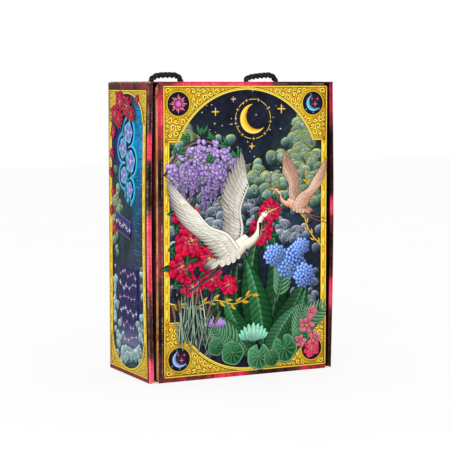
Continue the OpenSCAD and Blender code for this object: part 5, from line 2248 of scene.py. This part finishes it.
class CARTON_OT_stage(bpy.types.Operator):
    """A pale floor, soft light from all round and the camera"""

    bl_idname = "carton.stage"
    bl_label = "Stage"

    def execute(self, context):
        stage = context.scene.carton_stage
        self.floor(stage.floor_reach)
        self.world(context, stage)
        self.lamp(stage)
        self.camera(context, stage)
        context.scene.view_settings.view_transform = "Standard"
        return {"FINISHED"}

    def floor(self, reach):
        """A square of 8 by 8 flat quads at height 0."""
        side = np.linspace(-reach, reach, 9) / MM
        x, y = np.meshgrid(side, side, indexing="ij")
        index = np.arange(x.size).reshape(x.shape)
        spots = np.stack([x.ravel(), y.ravel(), np.zeros(x.size)], 1)
        mesh = mesh_of("floor", spots, [grid_quads(index)])
        show("floor", mesh, [backdrop_material()], smooth=0)

    def world(self, context, stage):
        """Even white light from all round, in front of a plain white background."""
        world = bpy.data.worlds.new("soft_light")
        world.use_nodes = True
        wires = Wiring(world.node_tree)
        path = wires.add("LightPath")
        seen = wires.maths("MAXIMUM", path.outputs["Is Camera Ray"], path.outputs["Is Transmission Ray"])
        lit = wires.add("Background", {"Color": (1, 1, 1, 1), "Strength": stage.world_light})
        white = wires.add("Background", {"Color": (1, 1, 1, 1), "Strength": 1.0})
        mixed = wires.add("MixShader", {0: seen, 1: lit.outputs[0], 2: white.outputs[0]})
        end = wires.add("OutputWorld")
        wires.put(end.inputs["Surface"], mixed.outputs[0])
        context.scene.world = world

    def lamp(self, stage):
        """A square area lamp that faces the carton's middle."""
        data = bpy.data.lights.new("window_light", "AREA")
        data.energy, data.size = stage.lamp_power, LAMP_SIZE
        lamp = bpy.data.objects.new("window_light", data)
        bpy.context.scene.collection.objects.link(lamp)
        lamp.location = LAMP_PLACE
        aim = Vector((0, 0, carton_h * MM / 2)) - lamp.location
        lamp.rotation_euler = aim.to_track_quat("-Z", "Y").to_euler()

    def camera(self, context, stage):
        """The camera stands out from its target against the way it looks."""
        data = bpy.data.cameras.new("camera")
        data.lens, data.sensor_width, data.sensor_fit = stage.lens, SENSOR_WIDTH, "HORIZONTAL"
        camera = bpy.data.objects.new("camera", data)
        context.scene.collection.objects.link(camera)
        turn, drop = stage.camera_turn, stage.camera_drop
        ahead = Vector((np.sin(turn) * np.cos(drop), np.cos(turn) * np.cos(drop), -np.sin(drop)))
        right = Vector((np.cos(turn), -np.sin(turn), 0))
        target = Vector((0, 0, stage.target_height)) + right * stage.target_right
        camera.location = target - ahead * stage.camera_distance
        camera.rotation_euler = ahead.to_track_quat("-Z", "Y").to_euler()
        context.scene.camera = camera


# ---------------------------------------------------------------- settings


def number(name, description, default, low=0.0, high=1.0, **more):
    """A number with its range."""
    return FloatProperty(name=name, description=description, default=default, min=low, max=high, **more)


def length(*facts):
    """A number in metres, with its range."""
    return number(*facts, unit="LENGTH")


def paint(name, description, red, green, blue):
    """A colour, given as screen values from 0 to 255."""
    return FloatVectorProperty(name=name, description=description, default=tuple(rgb(red, green, blue)),
                               size=3, min=0.0, max=1.0, subtype="COLOR_GAMMA")


class CartonBoard(bpy.types.PropertyGroup):
    """Sizes of the board"""

    bow: length("Bow", "How far the middle of a side wall's front edge swells outwards", 0.0034, 0, 0.008)
    liner: length("Liner", "Thickness of each outer layer of the board", 0.00035, 0.0001, 0.0006)
    medium: length("Medium", "Thickness of the wave between the liners", 0.00025, 0.0001, 0.0005)
    recess: length("Recess", "How deep the gaps of a cut edge look in", 0.0025, 0.0005, 0.005)
    pitch: length("Pitch", "Distance from one flute to the next", 0.0033, 0.001, 0.008)
    wear: number("Wear", "How much the laminate has cracked along the creases", 0.75, subtype="FACTOR")


class CartonInks(bpy.types.PropertyGroup):
    """Colours of the print, the raw board and the rope"""

    gold: paint("Gold", "Bright gold of the frame's lines and scrolls", 255, 198, 26)
    gold_shade: paint("Gold Shade", "Ground and grooves of the scrollwork", 160, 92, 4)
    # The creases' gilt, which also serves as their painted highlight
    crease_gilt_highlight: paint("Crease Gilt", "Gilt that shows along the lid's creases", 226, 138, 48)
    hot_pink: paint("Hot Pink", "Brightest smoke of the margin", 240, 60, 95)
    maroon: paint("Maroon", "Darkest smoke of the margin", 26, 10, 10)
    liner: paint("Liner", "Paper under cracked laminate", 232, 214, 204)
    raw_board: paint("Raw Board", "Unprinted board", 226, 214, 196)
    night: paint("Night", "Sky behind the crown of the arch", 30, 33, 50)
    slate: paint("Slate", "Far clouds", 60, 78, 104)
    teal: paint("Teal", "Near clouds", 62, 104, 98)
    moss: paint("Moss", "Lit rims of the near clouds", 190, 200, 70)
    leaf: paint("Leaf", "Leaves", 34, 116, 58)
    crimson: paint("Crimson", "Peonies", 192, 10, 52)
    ivory: paint("Ivory", "Feathers", 255, 246, 226)
    peach: paint("Peach", "Warm plumage", 244, 178, 140)
    lilac: paint("Lilac", "Wisteria", 156, 112, 218)
    iris: paint("Iris", "Blue flowers", 88, 128, 218)
    mint: paint("Mint", "Lotus", 146, 232, 200)
    cyan: paint("Cyan", "Water of the side panels", 8, 140, 200)
    rope: paint("Rope", "Rope", 22, 19, 16)


class CartonRope(bpy.types.PropertyGroup):
    """The rope handles"""

    lay: length("Lay", "Length of rope in which a strand goes round once", 0.024, 0.008, 0.06)
    knot_grip: number("Knot Grip", "Size of the knots' turns, in millimetres", 3.1, 2.0, 4.0)


class CartonStage(bpy.types.PropertyGroup):
    """The camera, the light and the floor"""

    lens: number("Lens", "Focal length in millimetres", 123.118, 20, 300)
    camera_turn: number("Turn", "How far the camera stands round to the left", 0.464048, -3.2, 3.2,
                        subtype="ANGLE")
    camera_drop: number("Drop", "How far the camera looks down", 0.091909, -1.5, 1.5, subtype="ANGLE")
    camera_distance: length("Distance", "From the camera to its target", 2.578, 0.5, 8)
    target_height: length("Target Height", "Height of the point that the camera looks at", 0.24104, 0, 1)
    target_right: length("Target Right", "How far that point lies to the right", 0.00679, -1, 1)
    world_light: number("World", "Strength of the light from all round", 0.92, 0, 2)
    lamp_power: number("Lamp", "Power of the window light in watts", 27.0, 0, 200)
    floor_reach: length("Floor", "Half the width of the floor", 6.0, 1, 20)


class CARTON_PT_panel(bpy.types.Panel):
    """Lists the carton's steps and settings in the sidebar"""

    bl_idname = "CARTON_PT_panel"
    bl_label = "Carry Carton"
    bl_space_type = "VIEW_3D"
    bl_region_type = "UI"
    bl_category = "Carton"

    def draw(self, context):
        for step in STEPS:
            self.layout.operator(step.bl_idname)
        for name in GROUPS:
            settings = getattr(context.scene, name)
            box = self.layout.box()
            box.label(text=settings.bl_rna.description)
            for field in settings.bl_rna.properties:
                if not field.is_readonly and field.identifier != "name":
                    box.prop(settings, field.identifier)


GROUPS = {"carton_board": CartonBoard, "carton_inks": CartonInks, "carton_rope": CartonRope,
          "carton_stage": CartonStage}
STEPS = [
    CARTON_OT_side_walls,
    CARTON_OT_lid_board,
    CARTON_OT_plain_panels,
    CARTON_OT_rope_handles,
    CARTON_OT_lid_sky,
    CARTON_OT_lid_frame,
    CARTON_OT_lid_garden,
    CARTON_OT_lid_wisteria,
    CARTON_OT_lid_cranes,
    CARTON_OT_left_picture,
    CARTON_OT_right_picture,
    CARTON_OT_back_picture,
    CARTON_OT_top_picture,
    CARTON_OT_stage,
]


def register():
    """Registers the settings, the operators and the panel."""
    for name, kind in GROUPS.items():
        bpy.utils.register_class(kind)
        setattr(bpy.types.Scene, name, PointerProperty(type=kind))
    for kind in (*STEPS, CARTON_PT_panel):
        bpy.utils.register_class(kind)


def unregister():
    """Takes the panel, the operators and the settings away again."""
    for kind in (CARTON_PT_panel, *reversed(STEPS)):
        bpy.utils.unregister_class(kind)
    for name, kind in reversed(GROUPS.items()):
        delattr(bpy.types.Scene, name)
        bpy.utils.unregister_class(kind)


def main():
    register()
    for step in STEPS:
        family, name = step.bl_idname.split(".")
        getattr(getattr(bpy.ops, family), name)()


if __name__ == "__main__":
    main()
